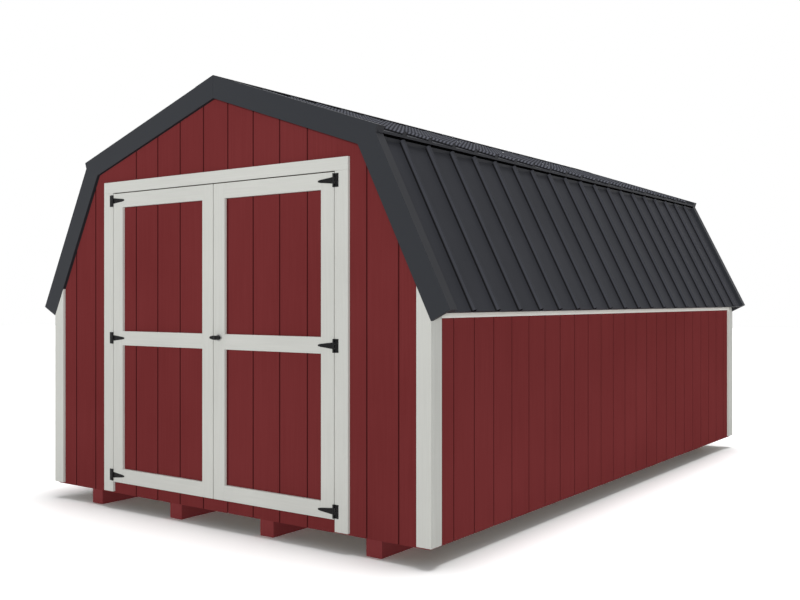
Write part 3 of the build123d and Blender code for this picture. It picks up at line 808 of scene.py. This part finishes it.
def nail_rings(boards: list[Board], outwards: list[Triple]) -> Floats:
    """Rings of nail heads in two rows along each board, evenly spaced between its ends.

    A head's foot is the board's start + a distance along it + or - a distance across it + half its
    thickness outwards.

    Args:
        boards: The boards.
        outwards: Unit direction of each board's face.

    Returns:
        Points by head, ring, step and axis.
    """
    feet, axes = [], []
    for board, outward in zip(boards, outwards):
        start, end = np.array(board.start), np.array(board.end)
        length = np.linalg.norm(end - start)
        inset = NAIL_END_INSET + (board.width if board.end_cut else 0)
        count = max(2, round((length - 2 * inset) / NAIL_SPACING) + 1)
        along = np.linspace(inset, length - inset, count)[:, None, None] * (end - start) / length
        sideways = np.array([-1.0, 1.0])[:, None] * np.array(board.across)
        sideways *= board.width / 2 - NAIL_EDGE_INSET
        spots = start + along + sideways + np.array(outward) * board.thickness / 2
        feet.append(spots.reshape(-1, 3))
        axes.append(np.broadcast_to(np.array(outward, float), feet[-1].shape))
    return turned_rings(NAIL_HEAD, np.concatenate(feet), np.concatenate(axes), NAIL_SIDES)


def dress(material: Material, *names: str) -> None:
    """Give solids of the frame their finish.

    Args:
        material: The finish.
        *names: Names of the solids.
    """
    for name in names:
        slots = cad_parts[name].data.materials
        slots.clear()
        slots.append(material)
        LOG.info("%s: %s", name, material.name)


def span(name: str) -> tuple[Floats, Floats]:
    """Lowest and highest corner of a solid of the frame."""
    low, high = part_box(name)
    return np.array(low), np.array(high)


def corners_of(name: str) -> Floats:
    """Points of a solid of the frame.

    Args:
        name: The solid's name.

    Returns:
        Rows of x, y and z.
    """
    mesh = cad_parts[name].data
    values = np.empty(len(mesh.vertices) * 3, np.float32)
    mesh.vertices.foreach_get("co", values)
    return values.reshape(-1, 3).astype(float)


# Painted light: the skids take a lighter copy of the barn red, against the shade under the floor
SKID_RED_LIGHTENED = BoardPaint("barn_red_lightened_on_skids", "7c3436", "743032")
WALL_RED = SidingPaint("barn_red_on_siding", "713031", "6a2b2c", specular=0.0)
# Painted light: the side walls take a lighter copy of the same barn red, for the light they miss
SIDE_RED_LIGHTENED = replace(WALL_RED, name="barn_red_lightened_on_side_walls", body="7c3637", deep="743132")
TRIM_WHITE = BoardPaint("trim_white_acrylic", "cacbc6", "c2c3be", roughness=0.55, streak_width=11 * MM)
# Painted light: a lighter copy of the trim white for the boards in the eaves' shade
FRIEZE_WHITE_LIGHTENED = replace(TRIM_WHITE, name="white_acrylic_lightened_under_eaves", body="f6f6f1", deep="eeeee9")
SPRUCE = Softwood()
TREATED = Softwood("treated_pine", early="8f8d7d", late="77745f", knot="544c3a")
STRANDS = StrandBoard()
TRIM_ENAMEL = CoatedMetal(
    "charcoal_polyester_on_folded_steel", "26272b", "222327", 0.55, gable_painted_light_colour="2c2e32"
)
# Painted light: the sheets take a lighter copy of the trims' charcoal enamel, making up for their weaker
# shine
SHEET_ENAMEL = CoatedMetal("charcoal_polyester_on_ribbed_steel", "2f3035", "2b2c30", 0.55, specular=0.05)
# Painted shade: the ridge cap takes a darker copy of the charcoal enamel, for the shade along the ridge
CAP_ENAMEL_DARKENED = CoatedMetal("darkened_polyester_on_ridge_cap", "17181b", "141518", 0.7, specular=0.02)
FOAM = CoatedMetal("black_closure_foam", "050505", "040404", 0.9, peel_depth=0.5 * MM, specular=0.0)
BLACK_POWDER = CoatedMetal("black_powder_coat", "0f0f10", "0b0b0c", 0.5, peel=1.2 * MM, wave_depth=0.0)
COLLAR_GREY = CoatedMetal("grey_powder_coat", "4a484b", "434144", 0.45, peel=1.2 * MM, wave_depth=0.0)
PLATE_GREY = replace(COLLAR_GREY, name="pale_grey_powder_coat", colour="b2b3b0", worn="a6a7a4")
DARK_ZINC = BlackenedZinc()


@dataclass
class Base:
    """Skids and floor."""

    edge: float = SKID_EDGE
    skid_size: float = 102 * MM
    spacing: float = 760 * MM
    count: int = 4

    def build(self) -> None:
        """Make the skids with eased edges, and dress the floor."""
        low, high = span("skids")
        z = (low[2] + high[2]) / 2
        first = -self.spacing * (self.count - 1) / 2
        size = self.skid_size
        xs = [first + self.spacing * number for number in range(self.count)]
        boards = [Board((x, low[1], z), (x, high[1], z), (1, 0, 0), size, size) for x in xs]
        paint = SKID_RED_LIGHTENED.material(Grain.BOARD)
        make_piece(board_rings(boards, self.edge), "painted_skids", "barn", "red_paint", paint, "skids")
        dress(TREATED.material(Grain.ACROSS), "floor_joists")
        dress(TREATED.material(Grain.LENGTHWISE), "floor_rims")
        dress(STRANDS.material(Grain.ACROSS), "floor_deck")


@dataclass
class Walls:
    """Siding sheets and the frames behind them."""

    plate: float = 38 * MM
    header: float = 140 * MM

    def build(self) -> None:
        """Dress the siding, painted outside and bare inside, and the frames."""
        low = np.array([span("left_siding")[0][0], span("front_siding_sill")[0][1]])
        high = np.array([span("right_siding")[1][0], span("back_siding")[1][1]])
        round_walls = {"middle": tuple((low + high) / 2), "half": tuple((high - low) / 2)}
        gables = [f"front_siding_{part}" for part in ("left", "right", "gable", "sill")]
        dress(replace(WALL_RED, **round_walls).material(Grain.UPRIGHT), *gables, "back_siding")
        # The side walls get the lighter copy of the red, as painted light
        dress(replace(SIDE_RED_LIGHTENED, **round_walls).material(Grain.UPRIGHT), "left_siding", "right_siding")
        foot = span("floor_deck")[1][2]
        plates = SPRUCE.material(Grain.UPRIGHT, (foot, foot + self.plate))
        dress(plates, "front_frame_left", "front_frame_right", "back_frame")
        over = span("front_frame_gable")[0][2]
        dress(SPRUCE.material(Grain.UPRIGHT, (over, over + self.header)), "front_frame_gable")
        dress(SPRUCE.material(Grain.LENGTHWISE), "side_wall_plates")
        dress(SPRUCE.material(Grain.UPRIGHT), "side_wall_studs")


@dataclass
class TrimBoards:
    """White boards at the corners, under the eaves and round the doorway."""

    width: float = TRIM_WIDTH
    edge: float = EASED_EDGE

    def build(self) -> None:
        """Make every board by itself, with hairline joints between them."""
        paint = TRIM_WHITE.material(Grain.BOARD)
        for end, toward in (("front", -1), ("back", 1)):
            boards, outwards = self.corners(end, toward)
            self.lay(f"{end}_corner_trim", boards, paint, f"corner_boards_{end}")
            self.nail(f"{end}_corner_nails", boards, outwards, paint)
        # The frieze boards take the lighter white, as painted light in the eaves' shade
        self.lay("eave_frieze_trim", self.friezes(), FRIEZE_WHITE_LIGHTENED.material(Grain.BOARD), "frieze_boards")
        jambs, header = self.casings()
        self.lay("jamb_trim", jambs, paint, "door_jamb_casings")
        self.lay("header_trim", [header], paint, "door_header_casing")
        self.nail("casing_nails", [*jambs, header], [FRONT] * 3, paint)

    def lay(self, name: str, boards: list[Board], paint: Material, solid: str) -> None:
        """Make one piece of boards that stands for a solid."""
        make_piece(board_rings(boards, self.edge), name, "barn", "white_paint", paint, solid)

    def nail(self, name: str, boards: list[Board], outwards: list[Triple], paint: Material) -> None:
        """Make one piece of the nail heads on boards."""
        make_piece(nail_rings(boards, outwards), name, "barn", "white_paint", paint)

    def corners(self, end: str, toward: int) -> tuple[list[Board], list[Triple]]:
        """Two boards round each of the two corners at one gable.

        Args:
            end: Name of the gable.
            toward: -1 at the front and 1 at the back.

        Returns:
            The boards, and the direction of each one's face.
        """
        low, high = span(f"corner_boards_{end}")
        face = low[1] if toward < 0 else high[1]
        depth = high[0] - span("right_siding")[1][0]
        middle = high[0] - self.width / 2
        top = span(f"{end}_rake_lower")[0][2] + self.width / 2 * math.tan(LOWER_PITCH)
        y = face - toward * depth / 2
        side = high[1] - low[1] - depth
        side_y = face - toward * (depth + side / 2)
        boards, outwards = [], []
        for sign in (-1, 1):
            outwards += [(0, toward, 0), (sign, 0, 0)]
            cut = (sign * math.sin(LOWER_PITCH), 0, math.cos(LOWER_PITCH))
            x = sign * middle
            boards.append(Board((x, y, low[2]), (x, y, top), (1, 0, 0), self.width, depth, cut))
            x = sign * (high[0] - depth / 2)
            boards.append(Board((x, side_y, low[2]), (x, side_y, high[2]), (0, 1, 0), side, depth))
        return boards, outwards

    def friezes(self) -> list[Board]:
        """Boards under the two eaves, whose paint is made lighter there as painted light against the
        eaves' shade.

        Returns:
            The boards.
        """
        low, high = span("frieze_boards")
        depth = high[0] - span("right_siding")[1][0]
        z = (low[2] + high[2]) / 2
        xs = [sign * (high[0] - depth / 2) for sign in (-1, 1)]
        return [Board((x, low[1], z), (x, high[1], z), (0, 0, 1), high[2] - low[2], depth) for x in xs]

    def casings(self) -> tuple[list[Board], Board]:
        """Two jamb boards with the header board on top of them.

        Returns:
            The jamb boards and the header.
        """
        low, high = span("door_jamb_casings")
        y = (low[1] + high[1]) / 2
        depth = high[1] - low[1]
        xs = [sign * (high[0] - self.width / 2) for sign in (-1, 1)]
        jambs = [Board((x, y, low[2]), (x, y, high[2]), (1, 0, 0), self.width, depth) for x in xs]
        low, high = span("door_header_casing")
        z = (low[2] + high[2]) / 2
        return jambs, Board((low[0], y, z), (high[0], y, z), (0, 0, 1), high[2] - low[2], depth)


@dataclass
class DoorLeaf:
    """One leaf: grooved skin, face boards with their nails, and boards behind."""

    side: str
    width: float = TRIM_WIDTH
    edge: float = EASED_EDGE
    paint_depth: float = 8 * MM

    def build(self) -> None:
        """Make the boards and their nails, and dress the skin."""
        body = f"{self.side}_door"
        middle = (0.0, span(f"{body}_panel")[0][1] + SidingPaint.half[1])
        name = f"barn_red_on_{self.side}_skin"
        paint = replace(WALL_RED, name=name, middle=middle, skin_depth=self.paint_depth)
        dress(paint.material(Grain.UPRIGHT), f"{body}_panel")
        white = TRIM_WHITE.material(Grain.BOARD)
        low, high = span(f"{body}_trim")
        foot = low[2]
        boards = self.boards(low, high, foot)
        rings = board_rings(boards, self.edge)
        make_piece(rings, f"{body}_face_boards", body, "white_paint", white, f"{body}_trim")
        heads = nail_rings(boards, [FRONT] * len(boards))
        make_piece(heads, f"{body}_face_nails", body, "white_paint", white)
        rings = board_rings(self.boards(*span(f"{body}_frame"), foot), self.edge)
        wood = SPRUCE.material(Grain.BOARD)
        make_piece(rings, f"{body}_back_boards", body, "framing_wood", wood, f"{body}_frame")

    def boards(self, low: Floats, high: Floats, foot: float) -> list[Board]:
        """Two stiles, with three rails between them.

        Args:
            low: Lowest corner of the set of boards.
            high: Its highest corner.
            foot: Lowest height of the leaf, from which its middle is counted.

        Returns:
            The boards.
        """
        width, depth = self.width, high[1] - low[1]
        y = (low[1] + high[1]) / 2
        xs = (low[0] + width / 2, high[0] - width / 2)
        zs = (low[2] + width / 2, (foot + high[2]) / 2, high[2] - width / 2)
        left, right = low[0] + width, high[0] - width
        stiles = [Board((x, y, low[2]), (x, y, high[2]), (1, 0, 0), width, depth) for x in xs]
        return stiles + [Board((left, y, z), (right, y, z), (0, 0, 1), width, depth) for z in zs]


@dataclass
class Hinges:
    """Six T-hinges with their screws: leaves on the casings, straps on the two door leaves."""

    strap_base: float = 35 * MM
    leaf_screws: tuple = ((16 * MM, -27 * MM), (22 * MM, 0.0), (16 * MM, 27 * MM))
    strap_screws: tuple = (-16 * MM, -48 * MM, -82 * MM)

    def build(self) -> None:
        """Dress the plates and drive the screws into them."""
        powder = BLACK_POWDER.material()
        dress(powder, "casing_hinge_leaves")
        low, high = span("right_door_straps")
        half = self.strap_base / 2
        heights = [low[2] + half, (low[2] + high[2]) / 2, high[2] - half]
        pin = (span("right_door_panel")[1][0] + span("door_jamb_casings")[1][0] - TRIM_WIDTH) / 2
        face = span("right_door_escutcheon")[0][1]
        spots = [(pin + x, face, height + z) for height in heights for x, z in self.leaf_screws]
        spots += [(-x, y, z) for x, y, z in spots]
        rings = turned_rings(PAN_SCREW, np.array(spots), FRONT, SCREW_SIDES)
        make_piece(rings, "casing_hinge_screws", "barn", "black_hardware", powder)
        for sign, side in ((-1, "left"), (1, "right")):
            dress(powder, f"{side}_door_straps")
            spots = [(sign * (pin + x), face, height) for height in heights for x in self.strap_screws]
            rings = turned_rings(PAN_SCREW, np.array(spots), FRONT, SCREW_SIDES)
            make_piece(rings, f"{side}_strap_screws", f"{side}_door", "black_hardware", powder)


@dataclass
class Lock:
    """T-handle with its cast grip, its key face, its collar and its round plate, on the right leaf."""

    plate_screw: float = 18 * MM
    key_boss: float = 10 * MM
    slot_length: float = 8 * MM
    slot_width: float = 1.8 * MM
    slot_depth: float = 0.4 * MM
    slot_rise: float = 0.3 * MM
    slot_edge: float = 0.1 * MM
    grip_length: float = 84 * MM
    grip_end: Pair = (6.8 * MM, 7.2 * MM)
    grip_swell: Pair = (1.2 * MM, 5.2 * MM)
    grip_steps: int = 25
    grip_reach: float = 1.52
    grip_bluntness: int = 16

    def build(self) -> None:
        """Dress the handle and its plate, and add the screws, collar, grip, key face and slot."""
        powder = BLACK_POWDER.material()
        plate = PLATE_GREY.material()
        dress(powder, "t_handle")
        dress(plate, "right_door_escutcheon")
        low, high = span("right_door_escutcheon")
        x, z = (low[0] + high[0]) / 2, (low[2] + high[2]) / 2
        front = span("t_handle")[0][1]
        foot = np.array([(x, low[1], z)])
        key = np.array([(x, front, z)])
        beside = np.array([(self.plate_screw, 0, 0), (-self.plate_screw, 0, 0)])
        y = front - self.slot_rise
        ends = (x, y, z - self.slot_length / 2), (x, y, z + self.slot_length / 2)
        slot = Board(*ends, (1, 0, 0), self.slot_width, self.slot_depth)
        screws = turned_rings(PAN_SCREW, foot + beside, FRONT, SCREW_SIDES)
        collar = turned_rings(SPINDLE_COLLAR, foot, FRONT, LOCK_SIDES)
        for name, body, finish, rings in (
            ("escutcheon_screws", "right_door", plate, screws),
            ("spindle_collar", "right_door", COLLAR_GREY.material(), collar),
            ("handle_grip", "handle", powder, self.grip(np.array((x, front + self.key_boss, z)))),
            ("key_face", "handle", DARK_ZINC.material(), turned_rings(KEY_FACE, key, FRONT, LOCK_SIDES)),
            ("key_slot", "handle", powder, board_rings([slot], self.slot_edge)),
        ):
            make_piece(rings, name, body, "black_hardware", finish)

    def grip(self, middle: Floats) -> Floats:
        """Rings of the grip that is cast round the bar, thicker in the middle.

        An ellipse is carried along the bar. At the share t of the half length, from -1 to 1, its
        half depth and half height are their end values plus the swell times 1 - t squared, all
        times the root of 1 - t to the 16th power, which rounds the ends. The shares are sines, so
        that the rings crowd toward the ends.

        Args:
            middle: Middle of the bar.

        Returns:
            Points by tube, ring, step and axis.
        """
        share = np.sin(np.linspace(-self.grip_reach, self.grip_reach, self.grip_steps))[:, None]
        blunt = np.sqrt(1 - share**self.grip_bluntness)
        depth, height = (
            (end + swell * (1 - share**2)) * blunt for end, swell in zip(self.grip_end, self.grip_swell)
        )
        angle = np.arange(LOCK_SIDES) * 2 * np.pi / LOCK_SIDES
        x = np.broadcast_to(share * self.grip_length / 2, (len(share), len(angle)))
        return (np.stack([x, depth * np.cos(angle), height * np.sin(angle)], axis=-1) + middle)[None]


@dataclass(frozen=True)
class Sheet:
    """One ribbed roof sheet, measured on its own solid.

    The distance of its points along the normal is least on the underside of the flats and
    greatest on the ribs, and the distance down the slope runs from its top edge to its bottom one.
    The side is 1 on the right slope and -1 on the left, where rings run the other way round.
    """

    name: str
    side: int
    down: Floats
    out: Floats
    flat: float
    crest: float
    top: float
    bottom: float
    knots: Floats

    @classmethod
    def measure(cls, name: str) -> "Sheet":
        """Read a sheet from the frame.

        Args:
            name: Name of the sheet's solid.

        Returns:
            Its directions, heights, ends, and the y of the four folds of each rib.
        """
        pitch = UPPER_PITCH if "upper" in name else LOWER_PITCH
        side = 1 if name.endswith("right") else -1
        points = corners_of(name)
        down = np.array([side * math.cos(pitch), 0, -math.sin(pitch)])
        out = np.array([side * math.sin(pitch), 0, math.cos(pitch)])
        height = points @ out
        run = points @ down
        low = height.min() + METAL
        y = np.round(points[:, 1], FOLD_DECIMALS)
        crests = np.unique(y[height > height.max() - METAL / 2]).reshape(-1, 2)
        foot = np.unique(y[np.abs(height - low) < METAL / 2])[1:-1].reshape(-1, 2)
        knots = np.stack([foot[:, 0], crests[:, 0], crests[:, 1], foot[:, 1]], axis=1)
        return cls(name, side, down, out, low, height.max(), run.min(), run.max(), knots)

    def place(self, run: Floats, y: Floats, height: Floats) -> Floats:
        """Points from their distance down the slope, their y and their height on the normal.

        Args:
            run: Distances down the slope.
            y: Distances along the building.
            height: Distances along the normal.

        Returns:
            Points, with one more axis than the inputs.
        """
        run, y, height = np.broadcast_arrays(run, y, height)
        along = np.array([0.0, 1.0, 0.0])
        return run[..., None] * self.down + y[..., None] * along + height[..., None] * self.out

    def profile(self) -> tuple[Floats, Floats]:
        """The y of every fold of the sheet's upper line, and the heights there."""
        rise = np.array([self.flat, self.crest, self.crest, self.flat])
        return self.knots.ravel(), np.tile(rise, len(self.knots))


@dataclass
class Roof:
    """Rafters, sheathing, ribbed sheets, folded trims, closures and screws."""

    row_gap: float = 610 * MM
    first_row: float = 90 * MM
    beside_rib: float = 38 * MM
    crimp: float = 26 * MM
    foam: float = 22 * MM
    play: float = 0.3 * MM
    closure_height: float = 23 * MM
    closure_foot: float = 20 * MM
    closure_lip: float = 2 * MM
    flange: float = 46 * MM
    plug_drop: float = 3 * METAL

    def build(self) -> None:
        """Dress the solids, lay the closures and drive the roof screws."""
        enamel = TRIM_ENAMEL.material()
        rakes = [f"{end}_rake_{part}" for end in ("front", "back") for part in ("upper", "lower")]
        dress(enamel, "knee_flashings", "eave_drip_edges", *rakes)
        dress(CAP_ENAMEL_DARKENED.material(), "ridge_cap")
        dress(SPRUCE.material(Grain.LENGTHWISE), "ridge_board")
        for part, grain in (("upper", Grain.UPPER_SLOPE), ("lower", Grain.LOWER_SLOPE)):
            dress(SPRUCE.material(grain), f"{part}_rafters")
            dress(STRANDS.material(grain), f"{part}_sheathing")
        dress(STRANDS.material(Grain.ACROSS), "roof_gussets")
        foam = FOAM.material()
        cap_edge = span("ridge_cap")[1][0] / math.cos(UPPER_PITCH)
        for side in ("left", "right"):
            upper = Sheet.measure(f"roof_metal_upper_{side}")
            lower = Sheet.measure(f"roof_metal_lower_{side}")
            dress(SHEET_ENAMEL.material(upper, self.crimp), upper.name)
            dress(SHEET_ENAMEL.material(lower), lower.name)
            ridge = upper.top + cap_edge - self.foam
            for name, slot, finish, rings in (
                ("ridge_closure", "roof_metal", foam, self.strip(upper, ridge)),
                ("knee_closure", "roof_metal", foam, self.strip(lower, lower.top)),
                ("knee_pan_closures", "roof_metal", enamel, self.pan_closures(lower)),
                ("upper_rib_plugs", "black_hardware", enamel, self.plugs(upper)),
                ("eave_rib_plugs", "black_hardware", foam, self.plugs(lower)),
            ):
                make_piece(rings, f"{name}_{side}", "barn", slot, finish)
            for sheet in (upper, lower):
                make_piece(self.screws(sheet), f"{sheet.name}_screws", "barn", "roof_metal", enamel)

    def strip(self, sheet: Sheet, start: float) -> Floats:
        """Closure laid across a sheet, cut to its ribs below and level above.

        Each ring is a rectangle across the strip. It stands at a fold of the sheet, and its lower
        side is as high as the sheet is there.

        Args:
            sheet: The sheet under it.
            start: Where it begins, down the slope.

        Returns:
            Points by tube, ring, step and axis.
        """
        y, height = sheet.profile()
        low, high = span("knee_flashings")
        y = np.concatenate([[low[1] + METAL], y, [high[1] - METAL]])
        low = np.concatenate([[sheet.flat], height, [sheet.flat]]) + self.play
        high = np.full_like(low, sheet.crest + METAL - self.play)
        run = np.array([start, start, start + self.foam, start + self.foam])
        heights = np.stack([low, high, high, low], axis=1)
        return sheet.place(run[None], y[:, None], heights)[None, ::sheet.side]

    def pan_closures(self, sheet: Sheet) -> Floats:
        """Folded closures under the knee flashing, one on each flat between two ribs.

        A ring is a cut through a closure, with its foot further down the slope than its top. The
        ring at each end leans as the rib's side does, by the fold's width times the share of the
        rib's height.

        Args:
            sheet: The sheet under them.

        Returns:
            Points by closure, ring, step and axis.
        """
        points = corners_of("knee_flashings")
        lip = (points @ sheet.down).max()
        low_y, high_y = points[:, 1].min() + self.flange, points[:, 1].max() - self.flange
        lean = (sheet.knots[0, 1] - sheet.knots[0, 0]) * self.closure_height / (sheet.crest - sheet.flat)
        left = np.append(low_y, sheet.knots[:, 3]) + self.play
        right = np.append(sheet.knots[:, 0], high_y) - self.play
        left_lean = np.append(0.0, np.full(len(sheet.knots), lean))
        ends = np.stack([left, right], axis=1)
        leans = np.stack([-left_lean, left_lean[::-1]], axis=1)
        raised = np.array([0.0, 1.0, 1.0, 0.0])
        y = ends[..., None] + leans[..., None] * raised
        heights = sheet.flat + self.play + raised * self.closure_height
        run = lip + np.array([-self.foam, -self.foam, -self.closure_lip, self.closure_foot])
        return sheet.place(run, y, heights)[:, ::sheet.side]

    def plugs(self, sheet: Sheet) -> Floats:
        """Closures in the hollow of every rib, at the sheet's lower end.

        Args:
            sheet: The sheet.

        Returns:
            Points by plug, ring, step and axis.
        """
        wall = METAL + self.play
        y = sheet.knots + np.array([wall, wall / 2, -wall / 2, -wall])
        low = sheet.flat - self.plug_drop
        heights = np.array([low, sheet.crest - wall, sheet.crest - wall, low])
        run = np.array([sheet.bottom - self.foam, sheet.bottom - self.play])
        return sheet.place(run[None, :, None], y[:, None, :], heights[None, None, :])[:, ::-sheet.side]

    def screws(self, sheet: Sheet) -> Floats:
        """Rows of capped screws in the flats of one sheet, beside every rib.

        Args:
            sheet: The sheet.

        Returns:
            Points by screw, ring, step and axis.
        """
        ribs = sheet.knots.mean(axis=1)
        last = sheet.bottom - self.first_row
        rows = np.append(np.arange(sheet.top + self.first_row, last, self.row_gap), last)
        y, run = np.meshgrid(ribs + self.beside_rib, rows, indexing="ij")
        feet = sheet.place(run.ravel(), y.ravel(), np.array(sheet.flat))
        return turned_rings(ROOF_SCREW, feet, sheet.out, SCREW_SIDES, ROOF_SCREW_HEX)


@dataclass
class Studio:
    """Floor, lamps, world and camera. A lamp has a name, a strength, a width and a rotation."""

    ground: float = 40.0
    floor_bounce: float = 0.72
    floor_white: float = 1.28
    focal_pixels: float = 957.33
    picture_width: int = 800
    sensor: float = 36.0
    eye: Triple = (4.144, -6.343, 1.337)
    heading: float = 35.656
    sky_levels: Pair = (0.05, 0.4)
    lamps: tuple = (
        ("overhead", 2.0, 22.0, (-2.5, 3.5, 0.0)),
        ("corner_fill", 2.72, 20.0, (87.0, 0.0, 31.0)),
        ("back_fill", 1.5, 20.0, (87.0, 0.0, 212.0)),
    )

    def build(self) -> None:
        """Set the stage."""
        self.floor()
        self.sky()
        for lamp in self.lamps:
            self.lamp(*lamp)
        self.camera()
        bpy.context.scene.view_settings.view_transform = "Standard"

    def seen(self, graph: Graph) -> Socket:
        """One where the camera, a shine or glass looks, and zero for the light on other surfaces.

        Args:
            graph: Node tree of a material or the world.

        Returns:
            That number.
        """
        path = graph.add("LightPath")
        seen = path.outputs["Is Camera Ray"]
        for ray in ("Is Glossy Ray", "Is Transmission Ray"):
            seen = graph.maths("MAXIMUM", seen, path.outputs[ray])
        return seen

    def floor(self) -> None:
        """White floor that keeps the building's shadow, and throws back less light than it shows."""
        side = np.array([-self.ground, self.ground])
        x, y = np.meshgrid(side, side, indexing="ij")
        points = np.stack([x, y, np.zeros_like(x)], axis=-1).reshape(-1, 3)
        mesh = bpy.data.meshes.new("floor")
        mesh.from_pydata(points.tolist(), [], [(0, 2, 3, 1)])
        graph = Coat("matte_white_floor")
        level = graph.mix(self.seen(graph), self.floor_bounce, self.floor_white, "FLOAT")
        matte = graph.add("BsdfDiffuse", {"Color": level}).outputs[0]
        graph.feed(graph.tree.nodes["Material Output"], {"Surface": matte})
        mesh.materials.append(graph.made)
        floor = bpy.data.objects.new("floor", mesh)
        bpy.context.scene.collection.objects.link(floor)

    def sky(self) -> None:
        """Plain light from all round, weaker near the horizon, and white where it is seen."""
        world = bpy.data.worlds.new("studio")
        bpy.context.scene.world = world
        world.use_nodes = True
        graph = Graph(world.node_tree)
        direction = graph.add("TexCoord").outputs["Generated"]
        level = graph.remap(graph.part(direction, 2), end=self.sky_levels)
        strength = graph.mix(self.seen(graph), level, 1.0, "FLOAT")
        graph.feed(graph.tree.nodes["Background"], {"Strength": strength, "Color": (1, 1, 1, 1)})

    def lamp(self, name: str, energy: float, spread: float, turn: Triple) -> None:
        """Hang one wide, soft lamp.

        Args:
            name: Its name.
            energy: Its strength.
            spread: Width of its disc, in degrees.
            turn: Its rotation about x, y and z, in degrees, from straight down.
        """
        light = bpy.data.lights.new(name, "SUN")
        light.energy = energy
        light.angle = math.radians(spread)
        lamp = bpy.data.objects.new(name, light)
        lamp.rotation_euler = [math.radians(angle) for angle in turn]
        bpy.context.scene.collection.objects.link(lamp)

    def camera(self) -> None:
        """Level camera at the corner, its focal length turned from pixels to the sensor's size."""
        data = bpy.data.cameras.new("corner_view")
        data.sensor_width = self.sensor
        data.lens = self.focal_pixels * self.sensor / self.picture_width
        camera = bpy.data.objects.new("corner_view", data)
        camera.location = self.eye
        camera.rotation_euler = (math.radians(90), 0, math.radians(self.heading))
        bpy.context.scene.collection.objects.link(camera)
        bpy.context.scene.camera = camera


def write_sizes() -> None:
    """Update the view layer after the building is dressed."""
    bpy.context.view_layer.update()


def main() -> None:
    """Build the studio and every sub-assembly in order."""
    doors = DoorLeaf("left"), DoorLeaf("right")
    for part in (Studio(), Base(), Walls(), TrimBoards(), *doors, Hinges(), Lock(), Roof()):
        part.build()
    write_sizes()


if __name__ == "__main__":
    main()
